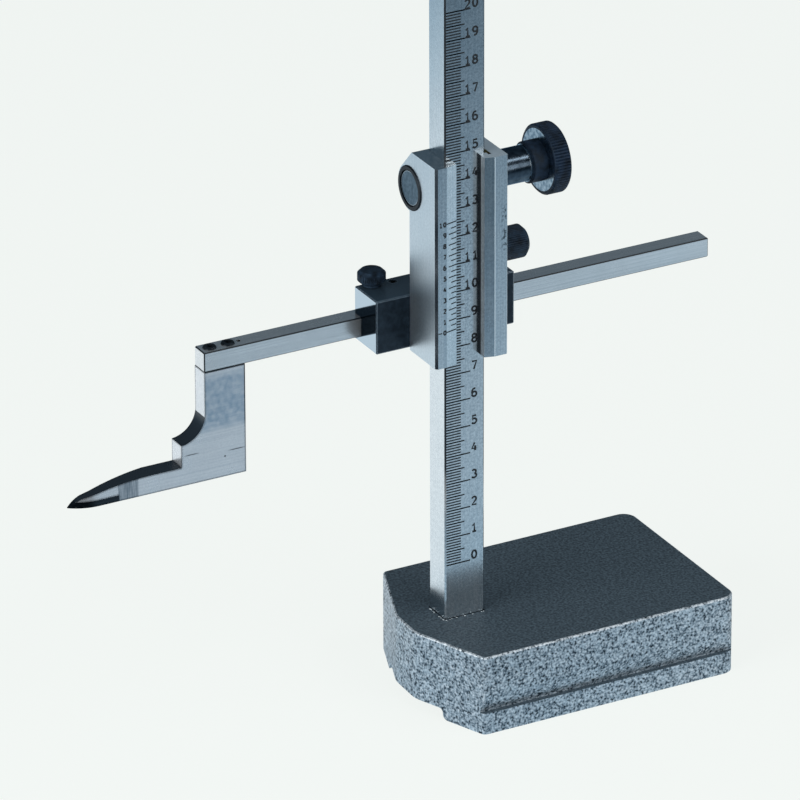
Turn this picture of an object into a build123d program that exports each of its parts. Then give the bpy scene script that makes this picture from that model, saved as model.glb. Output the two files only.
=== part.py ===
"""Vernier height gauge with a cross bar and scriber jaw.

A graduated beam stands in a cast base.  A slide rides on the beam and is
driven by a rack and pinion.  A holder on the back of the slide carries a
square cross bar with a carbide-tipped scriber jaw at its end.

Units are millimetres.  +Z is up, X runs along the cross bar and the base,
+Y points to the back.  The origin is on the beam's axis, on the plane that
the base stands on.  The slide is modelled at the reading REST_READING.
"""
import math
import os

from build123d import *

os.makedirs("parts", exist_ok=True)

# ------------------------------------------------------------------ fits
FIT = 0.03            # radial clearance of a running fit
SEAT = 0.02           # clearance of a piece seated in a pocket
GAP = 0.3             # gap between moving pieces that do not guide each other

# ------------------------------------------------------------------ reading
REST_READING = 88.6   # reading at which the slide is modelled
SCALE_RANGE = 200.0   # measuring range
ZERO_MARK_Z = 48.9    # zero mark of the beam's scale above the table

# ------------------------------------------------------------------ base
BASE_LEFT = -20.9     # X of the nose's front corner
BASE_RIGHT = 88.0
BASE_WIDTH = 73.5
BASE_HEIGHT = 28.8
NOSE_FRONT = -8.6     # Y of the nose's two corners
NOSE_BACK = 5.6
NOSE_SKEW = 0.5       # nose's back corner to the right of its front corner
FRONT_SHOULDER = 11.2  # X length of the nose's slanted sides
BACK_SHOULDER = 12.3
NOSE_RADIUS = 12.0
SHOULDER_RADIUS = 2.0
BASE_CORNER_RADIUS = 5.0
FLANGE_HEIGHT = 7.8   # lower flange under the finger groove
GROOVE_TOP = 15.3
GROOVE_DEPTH = 1.9
GROOVE_LIP = 0.5      # upright part of the groove's wall, above the flange
BASE_EDGE = 0.8
CHANNEL_WIDTH = 40.0  # relief along the underside, between two rails
CHANNEL_DEPTH = 3.9
CHANNEL_ROUND = 1.6   # in the relief's upper corners
RAIL_ROUND = 2.0      # along the rails' inner edges
CHANNEL_LAND = 18.0   # land that closes the relief at the right end
BEAM_SCREW_SPACING = 8.4
BEAM_SCREW_SINK = 1.0  # heads below the relief's ceiling
BEAM_SCREW_GRIP = 8.0  # thread in the beam

# ------------------------------------------------------------------ beam
BEAM_WIDTH = 15.0
BEAM_DEPTH = 11.0
BEAM_EDGE = 0.5
POCKET_DEPTH = 12.0   # depth of the beam's pocket in the base
STOP_MARGIN = 0.5     # slide to stop screw at the full reading
STOP_ABOVE = 3.0      # beam above the stop screw's head
STOP_GRIP = 6.0       # the stop screw's thread in the beam

# ------------------------------------------------------------------ slide
SLIDE_WIDTH = 27.0
SLIDE_HEIGHT = 72.0
SLIDE_FRONT = -10.4   # Y of the front face
SLIDE_BACK = 7.7      # Y of the back face
CROWN_BACK = 6.2      # Y of the top face's back edge
VERNIER_ABOVE = 12.8  # vernier zero above the slide's lower end
LIP_THICKNESS = 3.8   # inner edge of both front lips
LIP_OPENING = 10.5    # window between the two lips
LEFT_LAND = 4.1       # flat part of the left lip, from the slide's side
RIGHT_LAND = 4.8
SLIDE_EDGE = 0.8
GIB_THICKNESS = 1.46
GIB_SHORTER = 0.5     # gib strip inside the slide's ends
GIB_SCREW_LOW = 11.0  # lower gib screw above the slide's lower end
GIB_SCREW_HIGH = 26.0  # upper gib screw below the slide's upper end
GIB_SCREW_Y = -1.5
RELIEF_WIDTH = 1.1    # relief slot in the guide's corner
RELIEF_DEPTH = 1.8

# ------------------------------------------------------------------ drive
MODULE = 0.5
PINION_TEETH = 16
PRESSURE_ANGLE = 20.0
ADDENDUM = 0.9        # tooth heights in modules
DEDENDUM = 1.25
RACK_DEDENDUM = 1.2
BACKLASH = 0.08       # normal play between rack and pinion
DRIVE_Y = 7.2         # axis of the pinion behind the beam's axis
DRIVE_BELOW_TOP = 13.1  # axis below the slide's upper end
PINION_WIDTH = 6.6
NECK_DIAMETER = 2.9   # shaft between pinion and journals, behind the beam
RACK_WIDTH = 7.0
RACK_BACKING = 1.6    # rack material below the teeth
RACK_END = 7.0        # plain ends of the rack, with a screw each
RACK_SCREW_GRIP = 3.0  # thread in the beam
DRUM_RADIUS = 8.3     # housing around the pinion
CAVITY_RADIUS = 5.1
LEFT_JOURNAL = 12.5
LEFT_BUSH_DIAMETER = 15.5
BUSH_PROUD = 0.5
JOURNAL_SUNK = 0.4    # shaft's left end inside its bush
JOURNAL_EDGE = 0.4
RIGHT_JOURNAL = 6.0
RIGHT_BUSH_DIAMETER = 10.0
SLEEVE_DIAMETER = 12.4
SLEEVE_LENGTH = 15.2
WASHER_THICKNESS = 0.4
WASHER_DIAMETER = 11.6
BUSH_EDGE = 0.3
HUB_DIAMETER = 14.3
HUB_LENGTH = 5.7
HUB_EDGE = 0.7
KNOB_DIAMETER = 24.2
KNOB_WIDTH = 6.2
KNOB_KNURL_COUNT = 72
KNURL_DEPTH = 0.45
FINE_KNURL = 0.25     # on the small knobs
KNOB_EDGE = 0.6
KNOB_SCREW_SUNK = 0.5
DISH_RIM = 3.0        # rim around the shallow dish in the knob's face
DISH_DEPTH = 0.8

# ------------------------------------------------------------------ lock
LOCK_BELOW_TOP = 37.2
LOCK_DIAMETER = 11.4
LOCK_LENGTH = 10.6
LOCK_RIM = 1.4
LOCK_NECK = 0.8       # shoulder behind the knob
LOCK_NECK_DIAMETER = 7.7
LOCK_SHANK = 4.0
LOCK_KNURL_COUNT = 48
PAD_THICKNESS = 1.2

# ------------------------------------------------------------------ cross bar and its holder
HOLDER_LENGTH = 52.2
HOLDER_DEPTH = 15.2
HOLDER_HEIGHT = 19.2
HOLDER_ABOVE = 0.9    # holder's underside above the slide's lower end
HOLDER_EDGE = 0.35
BAR_SIZE = 7.0
BAR_LENGTH = 192.0
BAR_LEFT = -84.6
BAR_BEHIND = 10.7     # bar's front face behind the holder's front face
BAR_ABOVE = 2.4       # bar's underside above the holder's underside
BAR_EDGE = 0.35
HOLDER_SCREW_SPACING = (9.6, 9.8)      # X and Z between the four screws
HOLDER_SCREW_LENGTH = 8.0
CLAMP_X = -20.9
CLAMP_INSIDE = 2.3    # clamp screw in front of the holder's back face
CLAMP_DIAMETER = 9.6
CLAMP_LENGTH = 4.6
CLAMP_RIM = 1.1
CLAMP_NECK = 0.8
CLAMP_NECK_DIAMETER = 6.4
CLAMP_KNURL_COUNT = 44
CLAMP_PAD = 1.0
GRUB_X = -13.3
GRUB_INSIDE = 3.0
GRUB_SUNK = 0.15

# ------------------------------------------------------------------ scriber jaw
JAW_WIDTH = 15.0
JAW_LEFT_DROP = 14.8  # straight left side below the bar
JAW_SWEEP = 8.9       # concave sweep from the left side to the step
STEP_HEIGHT = 8.0
BLADE_HEIGHT = 6.7
BLADE_FLAT = 11.0     # level top of the blade beyond the step
BLADE_LENGTH = 49.4   # from the left side to the point
BLADE_FALL = 3.2      # drop of the blade's curved top, down to its snout
SNOUT_LENGTH = 4.6    # rounded end of the blade
FRONT_ROUND = 16.0    # radius of the blade's end in plan
TIP_WIDTH = 0.5       # thickness of the blade's end
TIP_LENGTH = 8.0      # thin part behind the rounded front
BACK_TAPER = 21.0     # slanted back, from the thin part to the full width
INSERT_LENGTH = 17.2
INSERT_THICKNESS = 2.2
JAW_SCREW_PROUD = 0.6  # heads above the bar
JAW_SCREW_GRIP = 6.0  # thread in the jaw
JAW_SCREW_PLACES = (0.25, 0.7)         # along the jaw's width
JIG_HOLE_X = -70.1    # blind hole in the bar, for a grinding jig
JIG_HOLE_DIAMETER = 1.5
JIG_HOLE_DEPTH = 2.0

# ------------------------------------------------------------------ screws
CAP_SCREWS = {        # thread, head diameter, head height, key size
    "M2.5": (2.5, 4.5, 2.5, 2.0),
    "M3": (3.0, 5.5, 3.0, 2.5),
    "M4": (4.0, 7.0, 4.0, 3.0),
}
FLAT_SCREWS = {       # thread, head diameter, head height
    "M2": (2.0, 3.8, 1.2),
    "M3": (3.0, 5.5, 1.7),
}
GRUB = 3.0            # thread of the set screws
GRUB_KEY = 1.5
GRUB_KEY_DEPTH = 1.6
GRUB_POINT = 0.4
SCREW_EDGE = 0.25
DOG_DIAMETER = 1.8    # dog point of the gib screws
DOG_LENGTH = 0.4
HEAD_CLEARANCE = 0.3  # around a head in its counterbore
SHANK_CLEARANCE = 0.2
TIGHT_CLEARANCE = 0.1  # around the jaw screws in the bar

# ------------------------------------------------------------------ derived places
VERNIER_Z = ZERO_MARK_Z + REST_READING
SLIDE_BOTTOM = VERNIER_Z - VERNIER_ABOVE
SLIDE_TOP = SLIDE_BOTTOM + SLIDE_HEIGHT
SLIDE_RIGHT = SLIDE_WIDTH / 2
TRAVEL_UP = SCALE_RANGE - REST_READING
TRAVEL_DOWN = REST_READING

BEAM_SIDE = BEAM_WIDTH / 2
BEAM_BACK = BEAM_DEPTH / 2
POCKET_FLOOR = BASE_HEIGHT - POCKET_DEPTH
STOP_Z = SLIDE_TOP + TRAVEL_UP + STOP_MARGIN + CAP_SCREWS["M3"][1] / 2
BEAM_TOP = STOP_Z + STOP_ABOVE + CAP_SCREWS["M3"][1] / 2

PITCH_RADIUS = MODULE * PINION_TEETH / 2
TIP_RADIUS = PITCH_RADIUS + ADDENDUM * MODULE
ROOT_RADIUS = PITCH_RADIUS - DEDENDUM * MODULE
TOOTH_PITCH = math.pi * MODULE
DRIVE_Z = SLIDE_TOP - DRIVE_BELOW_TOP
RACK_LINE = DRIVE_Y - PITCH_RADIUS
RACK_TIP = RACK_LINE + ADDENDUM * MODULE
RACK_ROOT = RACK_LINE - RACK_DEDENDUM * MODULE
RACK_SEAT = RACK_ROOT - RACK_BACKING
RACK_LOW_TOOTH = DRIVE_Z - TRAVEL_DOWN - TIP_RADIUS
RACK_HIGH_TOOTH = DRIVE_Z + TRAVEL_UP + TIP_RADIUS
RACK_LOW = RACK_LOW_TOOTH - RACK_END
RACK_HIGH = RACK_HIGH_TOOTH + RACK_END

GIB_SIDE = BEAM_SIDE + SEAT            # gib's face on the beam
GUIDE_RIGHT = GIB_SIDE + GIB_THICKNESS + SEAT
LOCK_Z = SLIDE_TOP - LOCK_BELOW_TOP

HOLDER_BOTTOM = SLIDE_BOTTOM + HOLDER_ABOVE
HOLDER_TOP = HOLDER_BOTTOM + HOLDER_HEIGHT
HOLDER_BACK = SLIDE_BACK + HOLDER_DEPTH
BAR_FRONT = SLIDE_BACK + BAR_BEHIND
BAR_BACK = BAR_FRONT + BAR_SIZE
BAR_BOTTOM = HOLDER_BOTTOM + BAR_ABOVE
BAR_TOP = BAR_BOTTOM + BAR_SIZE
BAR_MIDDLE = (BAR_FRONT + BAR_BACK) / 2
CLAMP_Y = HOLDER_BACK - CLAMP_INSIDE
GRUB_Y = HOLDER_BACK - GRUB_INSIDE
GRUB_TOP = HOLDER_TOP - GRUB_SUNK
JAW_BOTTOM = REST_READING              # so that the reading is the jaw's height
JAW_RIGHT = BAR_LEFT + JAW_WIDTH
JAW_SCREW_SEAT = BAR_TOP + JAW_SCREW_PROUD - CAP_SCREWS["M2.5"][2]
BLADE_TOP = JAW_BOTTOM + BLADE_HEIGHT
BLADE_END = BAR_LEFT - BLADE_LENGTH
GIB_SCREW_Z = (SLIDE_BOTTOM + GIB_SCREW_LOW, SLIDE_TOP - GIB_SCREW_HIGH)


# ------------------------------------------------------------------ helpers
def box(x0, x1, y0, y1, z0, z1):
    """A box between two corners."""
    return Pos((x0 + x1) / 2, (y0 + y1) / 2, (z0 + z1) / 2) * Box(x1 - x0, y1 - y0, z1 - z0)


def rod_x(x0, x1, radius, y, z):
    """A cylinder along X."""
    return Pos((x0 + x1) / 2, y, z) * Rot(0, 90, 0) * Cylinder(radius, x1 - x0)


def rod_y(y0, y1, radius, x, z):
    """A cylinder along Y."""
    return Pos(x, (y0 + y1) / 2, z) * Rot(-90, 0, 0) * Cylinder(radius, y1 - y0)


def rod_z(z0, z1, radius, x, y):
    """A cylinder along Z."""
    return Pos(x, y, (z0 + z1) / 2) * Cylinder(radius, z1 - z0)


def hex_prism(key, depth):
    """A hexagonal key socket, from Z = 0 down."""
    return Pos(0, 0, -depth / 2) * extrude(RegularPolygon(key / math.sqrt(3), 6), depth / 2, both=True)


def cap_screw(size, shank_length):
    """A socket head cap screw, head up, its seat at Z = 0."""
    thread, head, height, key = CAP_SCREWS[size]
    body = Pos(0, 0, height / 2) * Cylinder(head / 2, height)
    body = chamfer(body.edges().group_by(Axis.Z)[-1], SCREW_EDGE)
    shank = Pos(0, 0, -shank_length / 2) * Cylinder(thread / 2, shank_length)
    shank = chamfer(shank.edges().group_by(Axis.Z)[0], SCREW_EDGE)
    return body + shank - Pos(0, 0, height) * hex_prism(key, 0.55 * height)


def flat_screw(size, length):
    """A slotted flat-head screw, its top at Z = 0."""
    thread, head, height = FLAT_SCREWS[size]
    cone = Pos(0, 0, -height / 2) * Cone(thread / 2, head / 2, height)
    shank = Pos(0, 0, -length / 2) * Cylinder(thread / 2, length)
    return cone + shank - Box(head, 0.15 * head, 0.9 * height)


def flat_screw_hole(size, length):
    """The hole that a flat-head screw fills."""
    thread, head, height = FLAT_SCREWS[size]
    cone = Pos(0, 0, -height / 2) * Cone(thread / 2, head / 2, height)
    return cone + Pos(0, 0, -length / 2) * Cylinder(thread / 2, length)


def grub_screw(length):
    """A socket set screw, its top at Z = 0."""
    body = Pos(0, 0, -length / 2) * Cylinder(GRUB / 2, length)
    body = chamfer(body.edges().sort_by(Axis.Z)[0], GRUB_POINT)
    return body - hex_prism(GRUB_KEY, GRUB_KEY_DEPTH)


def knurled_disc(diameter, width, count, depth, edge):
    """A straight-knurled disc along Z from 0, with chamfered rims."""
    outer = diameter / 2
    points = []
    for i in range(count):
        for radius, phase in ((outer, -0.18), (outer, 0.18), (outer - depth, 0.5)):
            turn = 2 * math.pi * (i + phase) / count
            points.append((radius * math.cos(turn), radius * math.sin(turn)))
    star = extrude(make_face(Polyline(*points, close=True)), width)
    rim = Pos(0, 0, width / 2) * Cylinder(outer, width)
    rim = chamfer(rim.edges(), edge)
    return star & rim


# ------------------------------------------------------------------ base
def base_outline():
    """Plan of the base: a rectangle that narrows to a nose on the left."""
    half = BASE_WIDTH / 2
    right_corners = [(BASE_RIGHT, -half), (BASE_RIGHT, half)]
    nose_corners = [(BASE_LEFT + NOSE_SKEW, NOSE_BACK), (BASE_LEFT, NOSE_FRONT)]
    back_shoulder = (BASE_LEFT + BACK_SHOULDER, half)
    front_shoulder = (BASE_LEFT + FRONT_SHOULDER, -half)
    outline = make_face(Polyline(
        *right_corners, back_shoulder, *nose_corners, front_shoulder, close=True))
    for radius, corners in ((BASE_CORNER_RADIUS, right_corners), (NOSE_RADIUS, nose_corners),
                            (SHOULDER_RADIUS, [back_shoulder, front_shoulder])):
        sharp = [outline.vertices().sort_by_distance((x, y, 0))[0] for x, y in corners]
        outline = fillet(sharp, radius)
    return outline


def finger_groove():
    """Cove along the front of the base, above the flange."""
    face = -BASE_WIDTH / 2
    inside = face + GROOVE_DEPTH
    low = FLANGE_HEIGHT
    middle = (low + GROOVE_TOP) / 2
    profile = make_face([
        ThreePointArc((face, GROOVE_TOP), (face + 0.3 * GROOVE_DEPTH, middle), (inside, low + GROOVE_LIP)),
        Line((inside, low + GROOVE_LIP), (inside, low)),
        Line((inside, low), (face - 1, low)),
        Line((face - 1, low), (face - 1, GROOVE_TOP)),
        Line((face - 1, GROOVE_TOP), (face, GROOVE_TOP)),
    ])
    length = BASE_RIGHT - BASE_LEFT + 2
    return Pos(BASE_LEFT - 1, 0, 0) * (Plane.YZ * extrude(profile, length))


def channel():
    """Relief along the underside, its corners and the rails beside it rounded."""
    half = CHANNEL_WIDTH / 2
    foot = half + RAIL_ROUND
    corner = half - CHANNEL_ROUND
    turn = 1 - math.sqrt(0.5)
    corner_middle = (half - turn * CHANNEL_ROUND, CHANNEL_DEPTH - turn * CHANNEL_ROUND)
    side = [
        Line((0, CHANNEL_DEPTH), (corner, CHANNEL_DEPTH)),
        ThreePointArc((corner, CHANNEL_DEPTH), corner_middle, (half, CHANNEL_DEPTH - CHANNEL_ROUND)),
        Line((half, CHANNEL_DEPTH - CHANNEL_ROUND), (half, RAIL_ROUND)),
        ThreePointArc((half, RAIL_ROUND), (half + turn * RAIL_ROUND, turn * RAIL_ROUND), (foot, 0)),
        Line((foot, 0), (foot, -1)),
        Line((foot, -1), (0, -1)),
        Line((0, -1), (0, CHANNEL_DEPTH)),
    ]
    length = BASE_RIGHT - CHANNEL_LAND - BASE_LEFT + 1
    right = Pos(BASE_LEFT - 1, 0, 0) * (Plane.YZ * extrude(make_face(side), length))
    return right + mirror(right, Plane.XZ)


def beam_screw_places():
    """The two screws that pull the beam down into its pocket."""
    return [(-BEAM_SCREW_SPACING / 2, 0), (BEAM_SCREW_SPACING / 2, 0)]


def make_base():
    thread, head, height, _ = CAP_SCREWS["M4"]
    body = extrude(base_outline(), BASE_HEIGHT)
    body = fillet(body.faces().sort_by(Axis.Z)[-1].edges(), BASE_EDGE)
    groove = finger_groove()
    body = body - groove - mirror(groove, Plane.XZ)
    body = body - channel()
    pocket = Rectangle(BEAM_WIDTH + 2 * SEAT, BEAM_DEPTH + 2 * SEAT)
    body = body - Pos(0, 0, POCKET_FLOOR) * extrude(pocket, POCKET_DEPTH + 1)
    seat = CHANNEL_DEPTH + BEAM_SCREW_SINK + height
    for x, y in beam_screw_places():
        body = body - rod_z(0, seat, head / 2 + HEAD_CLEARANCE, x, y)
        body = body - rod_z(0, BASE_HEIGHT, thread / 2 + SHANK_CLEARANCE, x, y)
    return body


def make_beam_screws():
    seat = CHANNEL_DEPTH + BEAM_SCREW_SINK + CAP_SCREWS["M4"][2]
    screw = Rot(180, 0, 0) * cap_screw("M4", POCKET_FLOOR - seat + BEAM_SCREW_GRIP)
    return [Pos(x, y, seat) * screw for x, y in beam_screw_places()]


# ------------------------------------------------------------------ beam and rack
def rack_screw_places():
    """Heights of the rack's screws, in its plain ends."""
    return [RACK_LOW + RACK_END / 2, RACK_HIGH - RACK_END / 2]


def make_beam():
    body = box(-BEAM_SIDE, BEAM_SIDE, -BEAM_BACK, BEAM_BACK, POCKET_FLOOR, BEAM_TOP)
    body = chamfer(body.edges().filter_by(Axis.Z) + body.faces().sort_by(Axis.Z)[-1].edges(), BEAM_EDGE)
    half = RACK_WIDTH / 2 + SEAT
    body = body - box(-half, half, RACK_SEAT, BEAM_BACK + 1, RACK_LOW - SEAT, RACK_HIGH + SEAT)
    for z in rack_screw_places():
        body = body - rod_y(RACK_SEAT - RACK_SCREW_GRIP, RACK_SEAT, FLAT_SCREWS["M2"][0] / 2, 0, z)
    body = body - rod_y(BEAM_BACK - STOP_GRIP, BEAM_BACK, CAP_SCREWS["M3"][0] / 2, 0, STOP_Z)
    for x, y in beam_screw_places():
        body = body - rod_z(POCKET_FLOOR, POCKET_FLOOR + BEAM_SCREW_GRIP, CAP_SCREWS["M4"][0] / 2, x, y)
    return body


def rack_outline():
    """Side view of the rack: straight-sided teeth, a space facing the pinion's axis at rest."""
    slope = math.tan(math.radians(PRESSURE_ANGLE))
    half = TOOTH_PITCH / 4 - BACKLASH / 4
    root = half + (RACK_LINE - RACK_ROOT) * slope
    tip = half - (RACK_TIP - RACK_LINE) * slope
    first = math.ceil((RACK_LOW_TOOTH - DRIVE_Z) / TOOTH_PITCH)
    last = math.floor((RACK_HIGH_TOOTH - DRIVE_Z) / TOOTH_PITCH)
    points = [(RACK_SEAT, RACK_LOW), (RACK_TIP, RACK_LOW), (RACK_TIP, RACK_LOW + RACK_END),
              (RACK_ROOT, RACK_LOW + RACK_END)]
    for i in range(first + 1, last):
        z = DRIVE_Z + (i + 0.5) * TOOTH_PITCH
        if z - root > RACK_LOW + RACK_END and z + root < RACK_HIGH - RACK_END:
            points += [(RACK_ROOT, z - root), (RACK_TIP, z - tip), (RACK_TIP, z + tip), (RACK_ROOT, z + root)]
    points += [(RACK_ROOT, RACK_HIGH - RACK_END), (RACK_TIP, RACK_HIGH - RACK_END),
               (RACK_TIP, RACK_HIGH), (RACK_SEAT, RACK_HIGH)]
    return make_face(Polyline(*points, close=True))


def make_rack():
    body = Plane.YZ * extrude(rack_outline(), RACK_WIDTH / 2, both=True)
    for z in rack_screw_places():
        body = body - Pos(0, RACK_TIP, z) * Rot(-90, 0, 0) * flat_screw_hole("M2", RACK_TIP - RACK_SEAT)
    return body


def make_rack_screws():
    length = RACK_TIP - RACK_SEAT + RACK_SCREW_GRIP
    return [Pos(0, RACK_TIP, z) * Rot(-90, 0, 0) * flat_screw("M2", length) for z in rack_screw_places()]


def make_stop_screw():
    return Pos(0, BEAM_BACK, STOP_Z) * Rot(-90, 0, 0) * cap_screw("M3", STOP_GRIP)


# ------------------------------------------------------------------ slide
def slide_plan():
    """Plan of the slide: a channel around the beam, with two lips over its front."""
    left = -SLIDE_RIGHT
    window = LIP_OPENING / 2
    guide_front = -BEAM_BACK - FIT
    lip = guide_front - LIP_THICKNESS
    outer = make_face(Polyline(
        (left, SLIDE_BACK), (left, SLIDE_FRONT), (left + LEFT_LAND, SLIDE_FRONT), (-window, lip),
        (-window, guide_front), (window, guide_front), (window, lip),
        (SLIDE_RIGHT - RIGHT_LAND, SLIDE_FRONT), (SLIDE_RIGHT, SLIDE_FRONT),
        (SLIDE_RIGHT, SLIDE_BACK), close=True))
    guide_left = -BEAM_SIDE - FIT
    guide_back = BEAM_BACK + FIT
    guide = Pos((guide_left + GUIDE_RIGHT) / 2, 0) * Rectangle(GUIDE_RIGHT - guide_left, 2 * guide_back)
    relief = Pos(GUIDE_RIGHT - RELIEF_WIDTH / 2, guide_front - RELIEF_DEPTH / 2 + 0.1) * Rectangle(
        RELIEF_WIDTH, RELIEF_DEPTH)
    return outer - guide - relief


def drum():
    """Housing of the pinion, tangent to the back edge of the slide's top."""
    circle = Pos(DRIVE_Y, DRIVE_Z) * Circle(DRUM_RADIUS)
    crown = Pos((BEAM_BACK + CROWN_BACK) / 2, SLIDE_TOP - 1) * Rectangle(CROWN_BACK - BEAM_BACK, 2)
    outline = make_hull(circle.edges() + crown.edges())
    return Plane.YZ * extrude(outline, SLIDE_RIGHT, both=True)


def make_slide_body():
    body = Pos(0, 0, SLIDE_BOTTOM) * extrude(slide_plan(), SLIDE_HEIGHT)
    front = body.edges().filter_by(Axis.Z).group_by(Axis.Y)[0]
    body = chamfer(front.sort_by(Axis.X)[0], SLIDE_EDGE)
    body = chamfer(body.edges().filter_by(Axis.Z).group_by(Axis.X)[-1].sort_by(Axis.Y)[0], SLIDE_EDGE / 2)
    # above the drive's axis the drum alone makes the back
    wall = BEAM_BACK + FIT
    body = body - box(-SLIDE_RIGHT, SLIDE_RIGHT, wall, SLIDE_BACK + 1, DRIVE_Z, SLIDE_TOP + 1)
    body = body + (drum() - box(-SLIDE_RIGHT, SLIDE_RIGHT, DRIVE_Y - 2 * DRUM_RADIUS, wall,
                                DRIVE_Z - 2 * DRUM_RADIUS, SLIDE_TOP + 1))
    left_bore = LEFT_BUSH_DIAMETER / 2
    body = body - rod_x(-SLIDE_RIGHT - 1, -BEAM_SIDE, left_bore, DRIVE_Y, DRIVE_Z)
    body = body - rod_x(-BEAM_SIDE - 1, GUIDE_RIGHT, CAVITY_RADIUS, DRIVE_Y, DRIVE_Z)
    body = body - rod_x(0, SLIDE_RIGHT + 1, RIGHT_BUSH_DIAMETER / 2, DRIVE_Y, DRIVE_Z)
    body = body - rod_x(0, SLIDE_RIGHT + 1, LOCK_SHANK / 2 + FIT, 0, LOCK_Z)
    for z in GIB_SCREW_Z:
        body = body - rod_x(0, SLIDE_RIGHT + 1, GRUB / 2, GIB_SCREW_Y, z)
    for x, z in holder_screw_places():
        body = body - Pos(x, wall, z) * Rot(90, 0, 0) * flat_screw_hole("M3", HOLDER_SCREW_LENGTH)
    return body


def make_gib_strip():
    """Strip between the beam and the slide's right wall, with dimples for its screws."""
    half = BEAM_BACK - 0.2
    right = GIB_SIDE + GIB_THICKNESS
    body = box(GIB_SIDE, right, -half, half, SLIDE_BOTTOM + GIB_SHORTER, SLIDE_TOP - GIB_SHORTER)
    for z in GIB_SCREW_Z:
        body = body - rod_x(right - DOG_LENGTH - SEAT, right + 1, DOG_DIAMETER / 2 + SEAT, GIB_SCREW_Y, z)
    return body


def make_gib_screws():
    outer = SLIDE_RIGHT - 0.3
    length = outer - GIB_SIDE - GIB_THICKNESS
    screw = grub_screw(length) + Pos(0, 0, -length - DOG_LENGTH / 2) * Cylinder(DOG_DIAMETER / 2, DOG_LENGTH)
    return [Pos(outer, GIB_SCREW_Y, z) * Rot(0, 90, 0) * screw for z in GIB_SCREW_Z]


def make_lock_pad():
    left = GIB_SIDE + GIB_THICKNESS
    return rod_x(left, left + PAD_THICKNESS, LOCK_SHANK / 2, 0, LOCK_Z)


def make_lock_screw():
    """Knurled knob with its threaded shank, along +X from the slide's side."""
    tip = GIB_SIDE + GIB_THICKNESS + PAD_THICKNESS
    start = SLIDE_RIGHT + GAP
    neck = rod_x(start, start + LOCK_NECK, LOCK_NECK_DIAMETER / 2, 0, LOCK_Z)
    knob = knurled_disc(LOCK_DIAMETER, LOCK_LENGTH, LOCK_KNURL_COUNT, FINE_KNURL, LOCK_RIM)
    knob = Pos(start + LOCK_NECK, 0, LOCK_Z) * Rot(0, 90, 0) * knob
    return knob + neck + rod_x(tip, start + LOCK_NECK, LOCK_SHANK / 2, 0, LOCK_Z)


# ------------------------------------------------------------------ drive
def make_left_bush():
    right = -BEAM_SIDE - GAP
    left = -SLIDE_RIGHT - BUSH_PROUD
    ring = rod_x(left, right, LEFT_BUSH_DIAMETER / 2, DRIVE_Y, DRIVE_Z)
    ring = chamfer(ring.edges().sort_by(Axis.X)[0], BUSH_EDGE)
    return ring - rod_x(left - 1, right + 1, LEFT_JOURNAL / 2 + FIT, DRIVE_Y, DRIVE_Z)


def make_right_bush():
    """Sleeve with a spigot in the slide's right wall."""
    sleeve = rod_x(SLIDE_RIGHT, SLIDE_RIGHT + SLEEVE_LENGTH, SLEEVE_DIAMETER / 2, DRIVE_Y, DRIVE_Z)
    sleeve = chamfer(sleeve.edges().sort_by(Axis.X)[-1], BUSH_EDGE)
    spigot = rod_x(GUIDE_RIGHT + SEAT, SLIDE_RIGHT, RIGHT_BUSH_DIAMETER / 2, DRIVE_Y, DRIVE_Z)
    bore = rod_x(0, SLIDE_RIGHT + SLEEVE_LENGTH + 1, RIGHT_JOURNAL / 2 + FIT, DRIVE_Y, DRIVE_Z)
    return sleeve + spigot - bore


def make_drive_washer():
    left = SLIDE_RIGHT + SLEEVE_LENGTH
    ring = rod_x(left, left + WASHER_THICKNESS, WASHER_DIAMETER / 2, DRIVE_Y, DRIVE_Z)
    return ring - rod_x(left - 1, left + 2, RIGHT_JOURNAL / 2 + FIT, DRIVE_Y, DRIVE_Z)


def involute_point(base, radius, start):
    """Point of the involute of a circle, where it reaches the given radius."""
    roll = math.sqrt((radius / base) ** 2 - 1)
    turn = start + roll - math.atan(roll)
    return (radius * math.cos(turn), radius * math.sin(turn))


def pinion_tooth():
    """Outline of one tooth that points along +X, with involute flanks."""
    angle = math.radians(PRESSURE_ANGLE)
    base = PITCH_RADIUS * math.cos(angle)
    at_pitch = math.tan(angle) - angle
    half_tooth = (TOOTH_PITCH / 4 - BACKLASH / 4) / PITCH_RADIUS
    start = -half_tooth - at_pitch
    radii = [base + (TIP_RADIUS - base) * i / 3 for i in range(4)]
    low = [involute_point(base, r, start) for r in radii]
    high = [(x, -y) for x, y in low]
    inner = ROOT_RADIUS - 0.2
    foot_low = (inner * math.cos(start), inner * math.sin(start))
    foot_high = (foot_low[0], -foot_low[1])
    return make_face([
        Line(foot_low, low[0]), Spline(*low), ThreePointArc(low[-1], (TIP_RADIUS, 0), high[-1]),
        Spline(*reversed(high)), Line(high[0], foot_high), Line(foot_high, foot_low),
    ])


def make_pinion():
    """Pinion along Z, centred, with a tooth along +X."""
    blank = Circle(ROOT_RADIUS) + PolarLocations(0, PINION_TEETH) * pinion_tooth()
    return extrude(blank, PINION_WIDTH / 2, both=True)


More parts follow.
